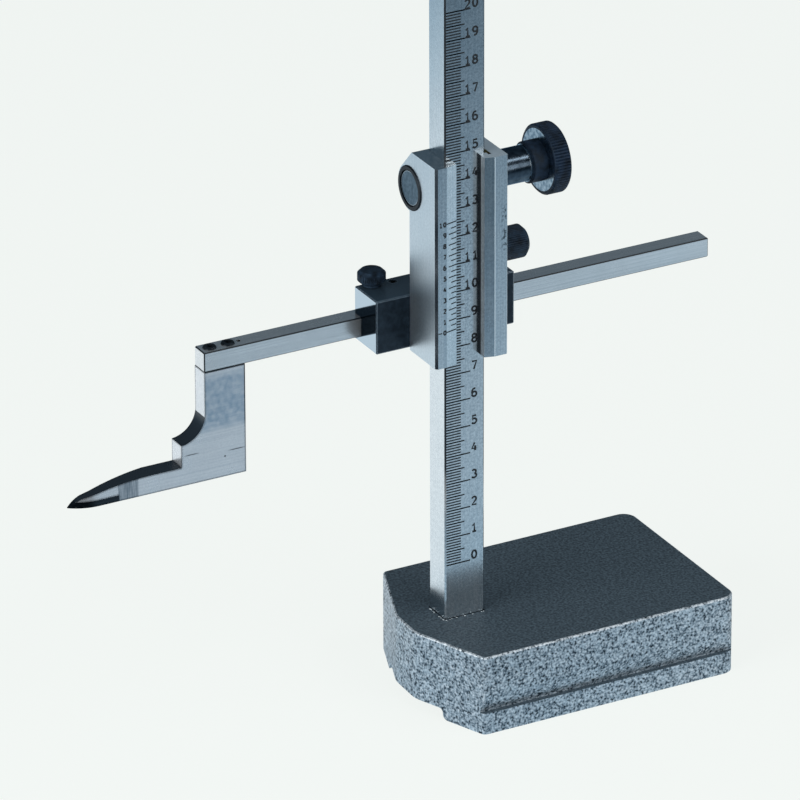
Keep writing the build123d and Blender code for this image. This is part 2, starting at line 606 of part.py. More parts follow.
def make_pinion_shaft():
    """Shaft cut from one bar: left journal, neck, pinion, neck, right journal."""
    journal_left = -SLIDE_RIGHT - BUSH_PROUD + JOURNAL_SUNK
    journal_right = -BEAM_SIDE - GAP
    shaft = rod_x(journal_left, journal_right, LEFT_JOURNAL / 2, DRIVE_Y, DRIVE_Z)
    shaft = chamfer(shaft.edges().sort_by(Axis.X)[0], JOURNAL_EDGE)
    neck = rod_x(journal_right, GUIDE_RIGHT + GAP, NECK_DIAMETER / 2, DRIVE_Y, DRIVE_Z)
    end = SLIDE_RIGHT + SLEEVE_LENGTH + WASHER_THICKNESS + HUB_LENGTH + KNOB_WIDTH / 2
    arbor = rod_x(GUIDE_RIGHT + GAP, end, RIGHT_JOURNAL / 2, DRIVE_Y, DRIVE_Z)
    # the tooth along the pinion's local +X is turned to face the rack
    pinion = Pos(0, DRIVE_Y, DRIVE_Z) * Rot(-90, 0, 0) * Rot(0, 90, 0) * make_pinion()
    return shaft + neck + pinion + arbor


def make_drive_knob():
    left = SLIDE_RIGHT + SLEEVE_LENGTH + WASHER_THICKNESS
    face = left + HUB_LENGTH + KNOB_WIDTH
    hub = rod_x(left, left + HUB_LENGTH, HUB_DIAMETER / 2, DRIVE_Y, DRIVE_Z)
    hub = chamfer(hub.edges().sort_by(Axis.X)[0], HUB_EDGE)
    disc = knurled_disc(KNOB_DIAMETER, KNOB_WIDTH, KNOB_KNURL_COUNT, KNURL_DEPTH, KNOB_EDGE)
    disc = Pos(left + HUB_LENGTH, DRIVE_Y, DRIVE_Z) * Rot(0, 90, 0) * disc
    dish = rod_x(face - DISH_DEPTH, face + 1, KNOB_DIAMETER / 2 - DISH_RIM, DRIVE_Y, DRIVE_Z)
    bore = rod_x(left - 1, face - KNOB_WIDTH / 2, RIGHT_JOURNAL / 2, DRIVE_Y, DRIVE_Z)
    screw = rod_y(DRIVE_Y, DRIVE_Y + HUB_DIAMETER, GRUB / 2, left + HUB_LENGTH / 2, DRIVE_Z)
    return hub + disc - dish - bore - screw


def make_knob_screw():
    middle = SLIDE_RIGHT + SLEEVE_LENGTH + WASHER_THICKNESS + HUB_LENGTH / 2
    outer = HUB_DIAMETER / 2 - KNOB_SCREW_SUNK
    return Pos(middle, DRIVE_Y + outer, DRIVE_Z) * Rot(-90, 0, 0) * grub_screw(outer - RIGHT_JOURNAL / 2)


# ------------------------------------------------------------------ cross bar and its holder
def make_bar_holder():
    half = HOLDER_LENGTH / 2
    body = box(-half, half, SLIDE_BACK, HOLDER_BACK, HOLDER_BOTTOM, HOLDER_TOP)
    body = chamfer(body.edges(), HOLDER_EDGE)
    body = body - box(-half - 1, half + 1, BAR_FRONT - SEAT, HOLDER_BACK + 1,
                      BAR_BOTTOM - SEAT, BAR_TOP + SEAT)
    depth = BEAM_BACK + FIT + HOLDER_SCREW_LENGTH
    for x, z in holder_screw_places():
        body = body - rod_y(SLIDE_BACK - 1, depth, FLAT_SCREWS["M3"][0] / 2, x, z)
    body = body - rod_z(BAR_TOP, HOLDER_TOP + 1, GRUB / 2 + FIT, CLAMP_X, CLAMP_Y)
    return body - rod_z(BAR_TOP, HOLDER_TOP + 1, GRUB / 2, GRUB_X, GRUB_Y)


def holder_screw_places():
    """The four screws that hold the holder, through the slide's back wall, in X and Z."""
    across, up = HOLDER_SCREW_SPACING
    middle = (HOLDER_BOTTOM + HOLDER_TOP) / 2
    return [(x, middle + z) for x in (-across / 2, across / 2) for z in (-up / 2, up / 2)]


def make_holder_screws():
    screw = Rot(90, 0, 0) * flat_screw("M3", HOLDER_SCREW_LENGTH)
    return [Pos(x, BEAM_BACK + FIT, z) * screw for x, z in holder_screw_places()]


def make_clamp_screw():
    """Knurled clamp knob over the bar, with its threaded shank."""
    neck_top = HOLDER_TOP + GAP + CLAMP_NECK
    knob = knurled_disc(CLAMP_DIAMETER, CLAMP_LENGTH, CLAMP_KNURL_COUNT, FINE_KNURL, CLAMP_RIM)
    neck = rod_z(HOLDER_TOP + GAP, neck_top, CLAMP_NECK_DIAMETER / 2, CLAMP_X, CLAMP_Y)
    shank = rod_z(BAR_TOP + SEAT + CLAMP_PAD, neck_top, GRUB / 2, CLAMP_X, CLAMP_Y)
    return Pos(CLAMP_X, CLAMP_Y, neck_top) * knob + neck + shank


def make_clamp_pad():
    return rod_z(BAR_TOP + SEAT, BAR_TOP + SEAT + CLAMP_PAD, GRUB / 2, CLAMP_X, CLAMP_Y)


def make_bar_grub_screw():
    return Pos(GRUB_X, GRUB_Y, GRUB_TOP) * grub_screw(GRUB_TOP - BAR_TOP - SEAT)


def jaw_screw_places():
    """The two screws in the bar's left end, in X."""
    return [BAR_LEFT + share * JAW_WIDTH for share in JAW_SCREW_PLACES]


def make_cross_bar():
    thread, head, _, _ = CAP_SCREWS["M2.5"]
    body = box(BAR_LEFT, BAR_LEFT + BAR_LENGTH, BAR_FRONT, BAR_BACK, BAR_BOTTOM, BAR_TOP)
    body = chamfer(body.edges(), BAR_EDGE)
    for x in jaw_screw_places():
        body = body - rod_z(BAR_BOTTOM - 1, BAR_TOP + 1, thread / 2 + TIGHT_CLEARANCE, x, BAR_MIDDLE)
        body = body - rod_z(JAW_SCREW_SEAT, BAR_TOP + 1, head / 2 + TIGHT_CLEARANCE, x, BAR_MIDDLE)
    return body - rod_z(BAR_TOP - JIG_HOLE_DEPTH, BAR_TOP + 1, JIG_HOLE_DIAMETER / 2, JIG_HOLE_X, BAR_MIDDLE)


def make_jaw_screws():
    screw = cap_screw("M2.5", JAW_SCREW_SEAT - BAR_BOTTOM + JAW_SCREW_GRIP)
    return [Pos(x, BAR_MIDDLE, JAW_SCREW_SEAT) * screw for x in jaw_screw_places()]


def jaw_front_view():
    """Front view of the jaw: an upright with a swept step into a long blade."""
    left = BAR_LEFT
    step = left - JAW_SWEEP
    step_top = BLADE_TOP + STEP_HEIGHT
    sweep_top = BAR_BOTTOM - JAW_LEFT_DROP
    sweep_middle = (left - 0.3 * JAW_SWEEP, step_top + 0.3 * (sweep_top - step_top))
    curve_start = step - BLADE_FLAT
    snout = (BLADE_END + SNOUT_LENGTH, BLADE_TOP - BLADE_FALL)
    curve_middle = ((curve_start + snout[0]) / 2, BLADE_TOP - BLADE_FALL / 4)
    snout_middle = (BLADE_END + 0.4 * SNOUT_LENGTH, JAW_BOTTOM + 0.55 * (snout[1] - JAW_BOTTOM))
    return make_face([
        Line((JAW_RIGHT, BAR_BOTTOM), (left, BAR_BOTTOM)),
        Line((left, BAR_BOTTOM), (left, sweep_top)),
        ThreePointArc((left, sweep_top), sweep_middle, (step, step_top)),
        Line((step, step_top), (step, BLADE_TOP)),
        Line((step, BLADE_TOP), (curve_start, BLADE_TOP)),
        ThreePointArc((curve_start, BLADE_TOP), curve_middle, snout),
        ThreePointArc(snout, snout_middle, (BLADE_END, JAW_BOTTOM)),
        Line((BLADE_END, JAW_BOTTOM), (JAW_RIGHT, JAW_BOTTOM)),
        Line((JAW_RIGHT, JAW_BOTTOM), (JAW_RIGHT, BAR_BOTTOM)),
    ])


def blade_plan():
    """Plan of the jaw: the blade's front curves, and its back slants, to a thin end."""
    inset = BAR_MIDDLE - BAR_FRONT
    turn = math.acos(1 - inset / FRONT_ROUND)
    round_start = BLADE_END + FRONT_ROUND * math.sin(turn)
    round_middle = (round_start - FRONT_ROUND * math.sin(turn / 2),
                    BAR_FRONT + FRONT_ROUND * (1 - math.cos(turn / 2)))
    thin_back = BAR_MIDDLE + TIP_WIDTH
    taper_start = BLADE_END + TIP_LENGTH
    return make_face([
        Line((JAW_RIGHT, BAR_FRONT), (round_start, BAR_FRONT)),
        ThreePointArc((round_start, BAR_FRONT), round_middle, (BLADE_END, BAR_MIDDLE)),
        Line((BLADE_END, BAR_MIDDLE), (BLADE_END, thin_back)),
        Line((BLADE_END, thin_back), (taper_start, thin_back)),
        Line((taper_start, thin_back), (taper_start + BACK_TAPER, BAR_BACK)),
        Line((taper_start + BACK_TAPER, BAR_BACK), (JAW_RIGHT, BAR_BACK)),
        Line((JAW_RIGHT, BAR_BACK), (JAW_RIGHT, BAR_FRONT)),
    ])


def jaw_blank():
    """The jaw with its carbide insert, before they are parted."""
    upright = Plane.XZ * extrude(jaw_front_view(), -(BAR_BACK + 1))
    plan = Pos(0, 0, JAW_BOTTOM) * extrude(blade_plan(), BAR_BOTTOM - JAW_BOTTOM)
    return upright & plan


def insert_space():
    return box(BLADE_END - 1, BLADE_END + INSERT_LENGTH, BAR_FRONT - 1, BAR_BACK + 1,
               JAW_BOTTOM - 1, JAW_BOTTOM + INSERT_THICKNESS)


def make_scriber_jaw():
    body = jaw_blank() - insert_space()
    thread = CAP_SCREWS["M2.5"][0]
    for x in jaw_screw_places():
        body = body - rod_z(BAR_BOTTOM - JAW_SCREW_GRIP, BAR_BOTTOM + 1, thread / 2, x, BAR_MIDDLE)
    return body


def make_carbide_tip():
    return jaw_blank() & insert_space()


# ------------------------------------------------------------------ output
def write(name, shape):
    """Write one node; a list of solids becomes one group."""
    if isinstance(shape, list):
        shape = Compound(children=[s for item in shape for s in item.solids()])
    export_step(shape, f"parts/{name}.step")


write("base", make_base())
write("beam", make_beam())
write("beam_screws", make_beam_screws())
write("rack", make_rack())
write("rack_screws", make_rack_screws())
write("stop_screw", make_stop_screw())
write("slide_body", make_slide_body())
write("gib_strip", make_gib_strip())
write("gib_screws", make_gib_screws())
write("lock_pad", make_lock_pad())
write("lock_screw", make_lock_screw())
write("left_bush", make_left_bush())
write("right_bush", make_right_bush())
write("drive_washer", make_drive_washer())
write("pinion_shaft", make_pinion_shaft())
write("drive_knob", make_drive_knob())
write("knob_screw", make_knob_screw())
write("bar_holder", make_bar_holder())
write("holder_screws", make_holder_screws())
write("bar_clamp_screw", make_clamp_screw())
write("clamp_pad", make_clamp_pad())
write("bar_grub_screw", make_bar_grub_screw())
write("cross_bar", make_cross_bar())
write("jaw_screws", make_jaw_screws())
write("scriber_jaw", make_scriber_jaw())
write("carbide_tip", make_carbide_tip())
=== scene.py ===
# %% [markdown]
# # Dressing a vernier height gauge
#
# A height gauge stands on a surface plate.  Its beam carries a millimetre scale, a slide with a
# vernier runs on the beam, and a cross bar on the slide's back holds the scriber jaw.  The metal
# pieces come from the CAD frame at their real size, so this lesson gives them their finishes and
# adds what the CAD leaves out: the engraved lines and numbers, the skin of the casting and the
# small signs of use.

# %% Load the fixed frame
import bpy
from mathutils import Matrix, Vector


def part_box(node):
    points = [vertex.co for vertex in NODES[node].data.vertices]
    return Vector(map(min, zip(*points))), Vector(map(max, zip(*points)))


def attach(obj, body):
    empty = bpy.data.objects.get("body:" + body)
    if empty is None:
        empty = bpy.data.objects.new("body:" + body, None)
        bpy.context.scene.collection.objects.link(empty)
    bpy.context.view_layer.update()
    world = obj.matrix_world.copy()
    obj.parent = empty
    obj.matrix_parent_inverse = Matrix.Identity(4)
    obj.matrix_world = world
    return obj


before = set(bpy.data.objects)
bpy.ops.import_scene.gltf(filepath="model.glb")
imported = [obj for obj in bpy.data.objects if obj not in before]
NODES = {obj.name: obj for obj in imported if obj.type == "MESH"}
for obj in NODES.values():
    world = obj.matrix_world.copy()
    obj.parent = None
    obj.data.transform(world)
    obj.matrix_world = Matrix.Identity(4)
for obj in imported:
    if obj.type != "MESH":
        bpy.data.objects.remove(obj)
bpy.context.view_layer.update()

# %% [markdown]
# ## Units
#
# Blender counts in metres and a gauge is dimensioned in millimetres, so sizes are written as a
# number times MM.  Where a finish or a mark has to meet the edge of a piece, the edge is read from
# the CAD node instead of being typed again, and stays right if the piece changes.

# %% Modules and units
import math
import random
import bpy
from mathutils import Matrix, Vector

MM = 0.001


def edge_of(node, side, axis):
    """Lowest (side 0) or highest (side 1) coordinate of a CAD node along X, Y or Z."""
    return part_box(node)[side]["XYZ".index(axis)]


print("beam's height in mm:", round((edge_of("beam", 1, "Z") - edge_of("beam", 0, "Z")) / MM, 1))

# %% [markdown]
# ## Camera
#
# A long lens far away keeps upright edges nearly parallel, which suits a measuring instrument; a
# short lens close by would make the beam lean.  The camera stands to the left and in front and
# looks down by 25 degrees, so that the scale, the left side of the slide and the top of the base
# all show.

# %% Place the camera
CAMERA_PLACE = (-1.17843, -2.14108, 1.26361)
CAMERA_TURN = 28.385
CAMERA_DOWN = 25.336
CAMERA_ROLL = -0.209
CAMERA_LENS = 365.81

bpy.ops.object.camera_add()
camera = bpy.context.object
camera.name = "camera"
turn = Matrix.Rotation(math.radians(-CAMERA_TURN), 4, "Z")
tilt = Matrix.Rotation(math.radians(90 - CAMERA_DOWN), 4, "X")
roll = Matrix.Rotation(math.radians(CAMERA_ROLL), 4, "Z")
camera.matrix_world = Matrix.Translation(CAMERA_PLACE) @ turn @ tilt @ roll
camera.data.lens = CAMERA_LENS
camera.data.sensor_width = 36
camera.data.clip_end = 20
bpy.context.scene.camera = camera
print("camera lens in mm:", camera.data.lens)

# %% [markdown]
# ## Helpers for materials
#
# Paint charts and screens give colours as sRGB hex values, and Blender's sockets hold linear
# light, so one function turns the first into the second.  Another adds a node, sets its
# properties and joins its inputs, which keeps every material below short.

# %% Colour and node helpers
SQUARE_LEAST = 0.95
EDGE_MATCH = 0.97


def linear(hex_colour):
    """Linear RGBA of an sRGB hex colour."""
    levels = [int(hex_colour[i:i + 2], 16) / 255 for i in (1, 3, 5)]
    return [v / 12.92 if v <= 0.04045 else ((v + 0.055) / 1.055) ** 2.4 for v in levels] + [1.0]


def add(tree, kind, inputs=None, **settings):
    """Add a node: settings are its properties, inputs are values or the sockets that feed it."""
    made = tree.nodes.new(kind)
    for name, value in settings.items():
        setattr(made, name, value)
    for name, value in (inputs or {}).items():
        if isinstance(value, bpy.types.NodeSocket):
            tree.links.new(value, made.inputs[name])
        else:
            made.inputs[name].default_value = value
    return made


def ramp(tree, factor, stops, interpolation="LINEAR"):
    """A colour ramp through (position, hex colour) stops."""
    made = add(tree, "ShaderNodeValToRGB", {"Fac": factor})
    made.color_ramp.interpolation = interpolation
    elements = made.color_ramp.elements
    while len(elements) < len(stops):
        elements.new(0.5)
    for element, (place, colour) in zip(elements, stops):
        element.position = place
        element.color = linear(colour)
    return made.outputs["Color"]


def new_material(name):
    """An empty material with a Principled shader joined to its output."""
    material = bpy.data.materials.new(name)
    material.use_nodes = True
    tree = material.node_tree
    tree.nodes.clear()
    shader = add(tree, "ShaderNodeBsdfPrincipled")
    add(tree, "ShaderNodeOutputMaterial", {"Surface": shader.outputs["BSDF"]})
    return material, tree, shader


def pattern_place(tree, scale=(1, 1, 1), turn=(0, 0, 0)):
    """Object coordinates, scaled and turned, so that a pattern stays on its piece."""
    place = add(tree, "ShaderNodeTexCoord").outputs["Object"]
    mapping = add(tree, "ShaderNodeMapping", {"Vector": place, "Scale": scale, "Rotation": turn})
    return mapping.outputs["Vector"]


def coordinate(tree, axis):
    """One Object coordinate, in metres."""
    place = add(tree, "ShaderNodeTexCoord").outputs["Object"]
    return add(tree, "ShaderNodeSeparateXYZ", {"Vector": place}).outputs[axis]


def step_up(tree, value, at, soft):
    """0 below a value, 1 above it, with a soft change of the given width."""
    made = add(tree, "ShaderNodeMapRange", {
        "Value": value, "From Min": at - soft / 2, "From Max": at + soft / 2})
    return made.outputs["Result"]


def calc(tree, operation, first, second):
    """One step of arithmetic."""
    return add(tree, "ShaderNodeMath", {0: first, 1: second}, operation=operation).outputs[0]


def span(tree, axis, low, high, soft):
    """1 between two coordinates along an axis, 0 elsewhere."""
    value = coordinate(tree, axis)
    return calc(tree, "SUBTRACT", step_up(tree, value, low, soft), step_up(tree, value, high, soft))


def facing(tree, axis, least=0.9):
    """1 where the surface looks along -axis, such as "-X", or along +axis, such as "X"."""
    normal = add(tree, "ShaderNodeNewGeometry").outputs["True Normal"]
    part = add(tree, "ShaderNodeSeparateXYZ", {"Vector": normal}).outputs[axis[-1]]
    if axis[0] == "-":
        part = calc(tree, "MULTIPLY", part, -1)
    return calc(tree, "GREATER_THAN", part, least)


def chamfers(tree):
    """1 on surfaces that do not lie square to X, Y or Z: broken edges and round pieces."""
    normal = add(tree, "ShaderNodeNewGeometry").outputs["True Normal"]
    parts = add(tree, "ShaderNodeSeparateXYZ", {"Vector": normal})
    sizes = [calc(tree, "ABSOLUTE", parts.outputs[axis], 0) for axis in "XYZ"]
    largest = calc(tree, "MAXIMUM", calc(tree, "MAXIMUM", sizes[0], sizes[1]), sizes[2])
    return calc(tree, "LESS_THAN", largest, SQUARE_LEAST)


def both(tree, *masks):
    """Where every one of some masks is 1."""
    mask = masks[0]
    for other in masks[1:]:
        mask = calc(tree, "MULTIPLY", mask, other)
    return mask


def sharp_edge(tree, radius):
    """1 close to a sharp edge: there a rounded normal leaves the flat one."""
    rounded = add(tree, "ShaderNodeBevel", {"Radius": radius}, samples=4).outputs[0]
    flat = add(tree, "ShaderNodeNewGeometry").outputs["True Normal"]
    match = add(tree, "ShaderNodeVectorMath", {0: rounded, 1: flat}, operation="DOT_PRODUCT")
    return calc(tree, "LESS_THAN", match.outputs["Value"], EDGE_MATCH)


def blend(tree, factor, first, second, mode="MIX"):
    """Mix two colours, each a socket or a hex value."""
    first, second = (linear(c) if isinstance(c, str) else c for c in (first, second))
    made = add(tree, "ShaderNodeMix", {0: factor, 6: first, 7: second}, data_type="RGBA", blend_type=mode)
    return made.outputs[2]


print("white is", linear("#FFFFFF"), "and mid grey is", [round(v, 3) for v in linear("#808080")])

# %% [markdown]
# ## Floor
#
# The floor is plain pale paper.  For the camera it is close to white, and it keeps only a little
# of the object's shadow.  Polished metal has no colour of its own: it shows what stands around it.
# So in reflections the paper is graded away from the camera: blue grey in front of the gauge,
# white behind it and blue grey again further off.  The front faces mirror the near part, the left
# sides the white part, and the beam's upper left side the far part.  A nearly black card at the
# left in front gives polished edges and round pieces their dark outline.  Only reflections see
# the grade and the card.  Under another floor the steel would look different, and lighter.

# %% Floor with a graded reflection
FLOOR_SIZE = 8.0
PAPER = "#F1F5F2"
PAPER_LIFT = 1.1
PAPER_SHADOW_SHARE = 0.16
GRADE_TURN = 61.3
GRADE_START = -0.5
GRADE = [
    # distance from the gauge along the grade in metres, colour in reflections
    (-0.40, "#4E626F"),
    (-0.30, "#64798A"),
    (-0.19, "#97AEBE"),
    (-0.12, "#A8BBC9"),
    (-0.03, "#A6C1D3"),
    (0.05, "#EDF5F9"),
    (0.20, "#F2F8FB"),
    (0.29, "#B4CAD8"),
    (0.38, "#6F8DA2"),
]
CARD_COLOUR = "#0E1822"
CARD_X = (-0.5, -0.09)
CARD_Y = (-0.5, -0.07)
CARD_SOFT = 0.06


def floor_material():
    material, tree, shader = new_material("graded_studio_paper")
    shader.inputs["Base Color"].default_value = linear("#E6E9E8")
    shader.inputs["Roughness"].default_value = 0.9
    shader.inputs["Specular IOR Level"].default_value = 0.1
    rays = add(tree, "ShaderNodeLightPath")
    for_camera = add(tree, "ShaderNodeEmission", {"Color": linear(PAPER), "Strength": PAPER_LIFT})
    shadowed = add(tree, "ShaderNodeMixShader", {
        "Fac": PAPER_SHADOW_SHARE, 1: for_camera.outputs[0], 2: shader.outputs[0]})
    place = add(tree, "ShaderNodeTexCoord").outputs["Object"]
    direction = (math.cos(math.radians(GRADE_TURN)), math.sin(math.radians(GRADE_TURN)), 0)
    along = add(tree, "ShaderNodeVectorMath", {0: place, 1: direction}, operation="DOT_PRODUCT")
    share = add(tree, "ShaderNodeMath", {0: along.outputs["Value"], 1: -GRADE_START}, operation="ADD")
    grade = ramp(tree, share.outputs[0], [(at - GRADE_START, colour) for at, colour in GRADE])
    card = calc(tree, "MULTIPLY", span(tree, "X", *CARD_X, CARD_SOFT), span(tree, "Y", *CARD_Y, CARD_SOFT))
    mirrored = add(tree, "ShaderNodeEmission", {"Color": blend(tree, card, grade, CARD_COLOUR)})
    by_glossy = add(tree, "ShaderNodeMixShader", {
        "Fac": rays.outputs["Is Glossy Ray"], 1: shader.outputs[0], 2: mirrored.outputs[0]})
    by_camera = add(tree, "ShaderNodeMixShader", {
        "Fac": rays.outputs["Is Camera Ray"], 1: by_glossy.outputs[0], 2: shadowed.outputs[0]})
    tree.links.new(by_camera.outputs[0], tree.nodes["Material Output"].inputs["Surface"])
    return material


bpy.ops.mesh.primitive_plane_add(size=FLOOR_SIZE)
floor = bpy.context.object
floor.name = "studio_floor"
floor.data.materials.append(floor_material())
print("floor:", floor.dimensions[:2])

# %% [markdown]
# ## Light
#
# Two large soft boxes stand low at the left and in front, so the upright faces are lit and the
# top faces stay dark, which is what separates the faces of a plain block.  A narrow strip high at
# the right in front lights round and sloping metal from above.  The room above is dark for
# reflections and gives a little even light for everything else.

# %% Soft boxes and room
ROOM_DARK = "#465560"
ROOM_FILL = "#C9D2D8"
ROOM_FILL_STRENGTH = 0.45
SOFT_BOXES = {
    # name: (place, looks at, width, height, power)
    "left_soft_box": ((-1.5, -0.35, 0.55), (0, 0, 0.12), 1.2, 0.9, 16.0),
    "front_soft_box": ((0.35, -1.6, 0.6), (0, 0, 0.12), 1.0, 0.7, 7.0),
    "upper_strip_box": ((0.62, -0.62, 1.18), (0.03, 0, 0.18), 0.9, 0.16, 2.6),
}


def add_soft_box(name, place, target, width, height, power):
    bpy.ops.object.light_add(type="AREA", location=place)
    light = bpy.context.object
    light.name = name
    light.rotation_euler = (Vector(target) - Vector(place)).to_track_quat("-Z", "Y").to_euler()
    light.data.shape = "RECTANGLE"
    light.data.size = width
    light.data.size_y = height
    light.data.energy = power
    return light


for name, values in SOFT_BOXES.items():
    add_soft_box(name, *values)

room = bpy.data.worlds.new("studio_room")
bpy.context.scene.world = room
room.use_nodes = True
room_tree = room.node_tree
room_tree.nodes.clear()
room_rays = add(room_tree, "ShaderNodeLightPath")
room_fill = add(room_tree, "ShaderNodeBackground", {
    "Color": linear(ROOM_FILL), "Strength": ROOM_FILL_STRENGTH})
room_mirrored = add(room_tree, "ShaderNodeBackground", {"Color": linear(ROOM_DARK)})
room_paper = add(room_tree, "ShaderNodeBackground", {"Color": linear(PAPER)})
room_inner = add(room_tree, "ShaderNodeMixShader", {
    "Fac": room_rays.outputs["Is Glossy Ray"], 1: room_fill.outputs[0], 2: room_mirrored.outputs[0]})
room_mix = add(room_tree, "ShaderNodeMixShader", {
    "Fac": room_rays.outputs["Is Camera Ray"], 1: room_inner.outputs[0], 2: room_paper.outputs[0]})
add(room_tree, "ShaderNodeOutputWorld", {"Surface": room_mix.outputs[0]})
bpy.context.scene.view_settings.view_transform = "Standard"
print("lights:", list(SOFT_BOXES))

# %% [markdown]
# ## Steel finishes
#
# Every bright piece of the gauge is steel, and the finishes differ in how the skin was made.  The
# beam and slide are satin chrome plated over a vertical brushing: fine streaks along Z.  The bar
# and the jaw are surface ground, which leaves streaks along the bar.  A streak is noise drawn out
# 120 times longer than it is wide, and it moves the colour and the bump; soft blotches move the
# roughness.
# Real brushing is 0.05 mm wide and would not show, so the streaks are drawn about 0.5 mm wide.

# %% Streaked steel
STREAK_WIDTH = 0.5 * MM
STREAK_LENGTH = 60 * MM
GRAIN = 0.8 * MM


def streaks(tree, along, width=STREAK_WIDTH, length=STREAK_LENGTH, detail=4.0):
    """Noise drawn out along X, Y or Z."""
    scale = [1 / width] * 3
    scale["XYZ".index(along)] = 1 / length
    noise = add(tree, "ShaderNodeTexNoise", {
        "Vector": pattern_place(tree, scale), "Scale": 1.0, "Detail": detail, "Roughness": 0.6})
    return noise.outputs["Fac"]


def cloud(tree, size, detail=3.0):
    """Soft blotches of about the given size."""
    noise = add(tree, "ShaderNodeTexNoise", {
        "Vector": pattern_place(tree), "Scale": 1 / size, "Detail": detail})
    return noise.outputs["Fac"]


def between(tree, factor, low, high):
    """A value that runs from low to high as the factor runs from 0.3 to 0.7."""
    made = add(tree, "ShaderNodeMapRange", {
        "Value": factor, "From Min": 0.3, "From Max": 0.7, "To Min": low, "To Max": high})
    return made.outputs["Result"]


def streaked_steel(name, along, dark, light, roughness, bump_depth, metallic=1.0, grain=0.08):
    """Brushed or ground steel whose streaks run along one axis."""
    material, tree, shader = new_material(name)
    lines = streaks(tree, along)
    colour = ramp(tree, lines, [(0.3, dark), (0.7, light)])
    colour = blend(tree, between(tree, cloud(tree, 5 * MM), 0.0, 0.35), colour, dark)
    pits = calc(tree, "SUBTRACT", 1.0, between(tree, cloud(tree, GRAIN, 2.0), 0.0, 1.0))
    colour = blend(tree, calc(tree, "MULTIPLY", pits, grain), colour, "#6A7A86")
    shader.inputs["Metallic"].default_value = metallic
    tree.links.new(colour, shader.inputs["Base Color"])
    tree.links.new(between(tree, cloud(tree, 12 * MM), *roughness), shader.inputs["Roughness"])
    bump = add(tree, "ShaderNodeBump", {"Height": lines, "Distance": bump_depth, "Strength": 1.0})
    tree.links.new(bump.outputs[0], shader.inputs["Normal"])
    return material, tree, shader, colour


def recolour(made, colour):
    """Replace the base colour of a material made above."""
    material, tree, shader, _ = made
    tree.links.new(colour, shader.inputs["Base Color"])
    return material


def reset(made, name, mask, value):
    """Give an input of a material's shader a value of its own where a mask is 1."""
    _, tree, shader, _ = made
    socket = shader.inputs[name]
    before = socket.links[0].from_socket if socket.is_linked else socket.default_value
    mixed = add(tree, "ShaderNodeMix", {0: mask, 2: before, 3: value}, data_type="FLOAT")
    tree.links.new(mixed.outputs[0], socket)


print("streaks in mm, width and length:", round(STREAK_WIDTH / MM, 2), round(STREAK_LENGTH / MM, 2))

# %% [markdown]
# ## Ground bar and rack
#
# The bar is ground on four sides and its edges are broken at 45 degrees.  The broken edges are painted dark
# and dull, which is painted shade: it draws a thin dark line along each of them from every side, where bare
# ground edges would mirror the room.  A mask of every surface that isn't square to an axis finds them
# without unwrapping the mesh.

# %% Ground bar with painted shade on its broken edges
# Tone of painted shade on edges and corners, and of the jaw's scratches and pit
PAINTED_SHADE_AND_SCRATCH_TONE = "#101A22"


def bar_steel():
    made = streaked_steel(
        "surface_ground_bar", "X", "#DCE0E2", "#F8FAFB", (0.2, 0.3), 0.004 * MM, 0.85)
    _, tree, _, colour = made
    # The broken edges are painted dark and dull: painted shade.
    edges = chamfers(tree)
    reset(made, "Metallic", edges, 0.0)
    reset(made, "Roughness", edges, 0.5)
    return recolour(made, blend(tree, edges, colour, PAINTED_SHADE_AND_SCRATCH_TONE))


ground_bar = bar_steel()
ground_rack = streaked_steel(
    "surface_ground_rack", "Z", "#C9CFD3", "#E6EAEC", (0.25, 0.35), 0.004 * MM)[0]
print("ground finishes:", ground_bar.name, ground_rack.name)

# %% [markdown]
# ## Satin chrome
#
# The beam and the slide are plated.  The right lip has two pale lines along its edges, which are painted
# highlights, a dark strip in the corner behind it, which is painted shade, and a few specks of rust near
# its edge.  The left sides are painted lighter and the top of the right lip has a tone of its own that
# looks lighter: painted light.  The beam's broken edges above 75 mm are painted dark, as the bar's are:
# painted shade.  Each is a band between two coordinates, limited to faces that look one way.  It is drawn
# in the finish, so it adds no geometry, and it stays as it is when the light changes.

# %% Satin chrome of the beam and the slide
PAINTED_SHADE_EDGES_Z = (75 * MM, 400 * MM)
SIDE_X = (-15 * MM, -12 * MM)
LIP_EDGE = 5.25 * MM
LIP_CORNER = (-7.0 * MM, -5.0 * MM)
SLIDE_RIGHT = edge_of("slide_body", 1, "X")
RIGHT_LAND = SLIDE_RIGHT - 4.8 * MM
PALE_LINE = 0.4 * MM
RUST_X = (SLIDE_RIGHT - 2.2 * MM, SLIDE_RIGHT + MM)
RUST_Z = (163 * MM, 179 * MM)


def beam_chrome():
    made = streaked_steel(
        "satin_chrome_beam", "Z", "#DDE6EA", "#FAFCFD", (0.17, 0.26), 0.004 * MM, grain=0.42)
    _, tree, _, colour = made
    # Left faces are painted lighter: painted light.
    colour = blend(tree, calc(tree, "MULTIPLY", facing(tree, "-X"), 0.5), colour, "#E9F0F4")
    # The broken edges above 75 mm are painted dark and dull: painted shade.
    edges = both(tree, chamfers(tree), span(tree, "Z", *PAINTED_SHADE_EDGES_Z, 20 * MM))
    reset(made, "Metallic", edges, 0.1)
    reset(made, "Roughness", edges, 0.5)
    return recolour(made, blend(tree, edges, colour, PAINTED_SHADE_AND_SCRATCH_TONE))


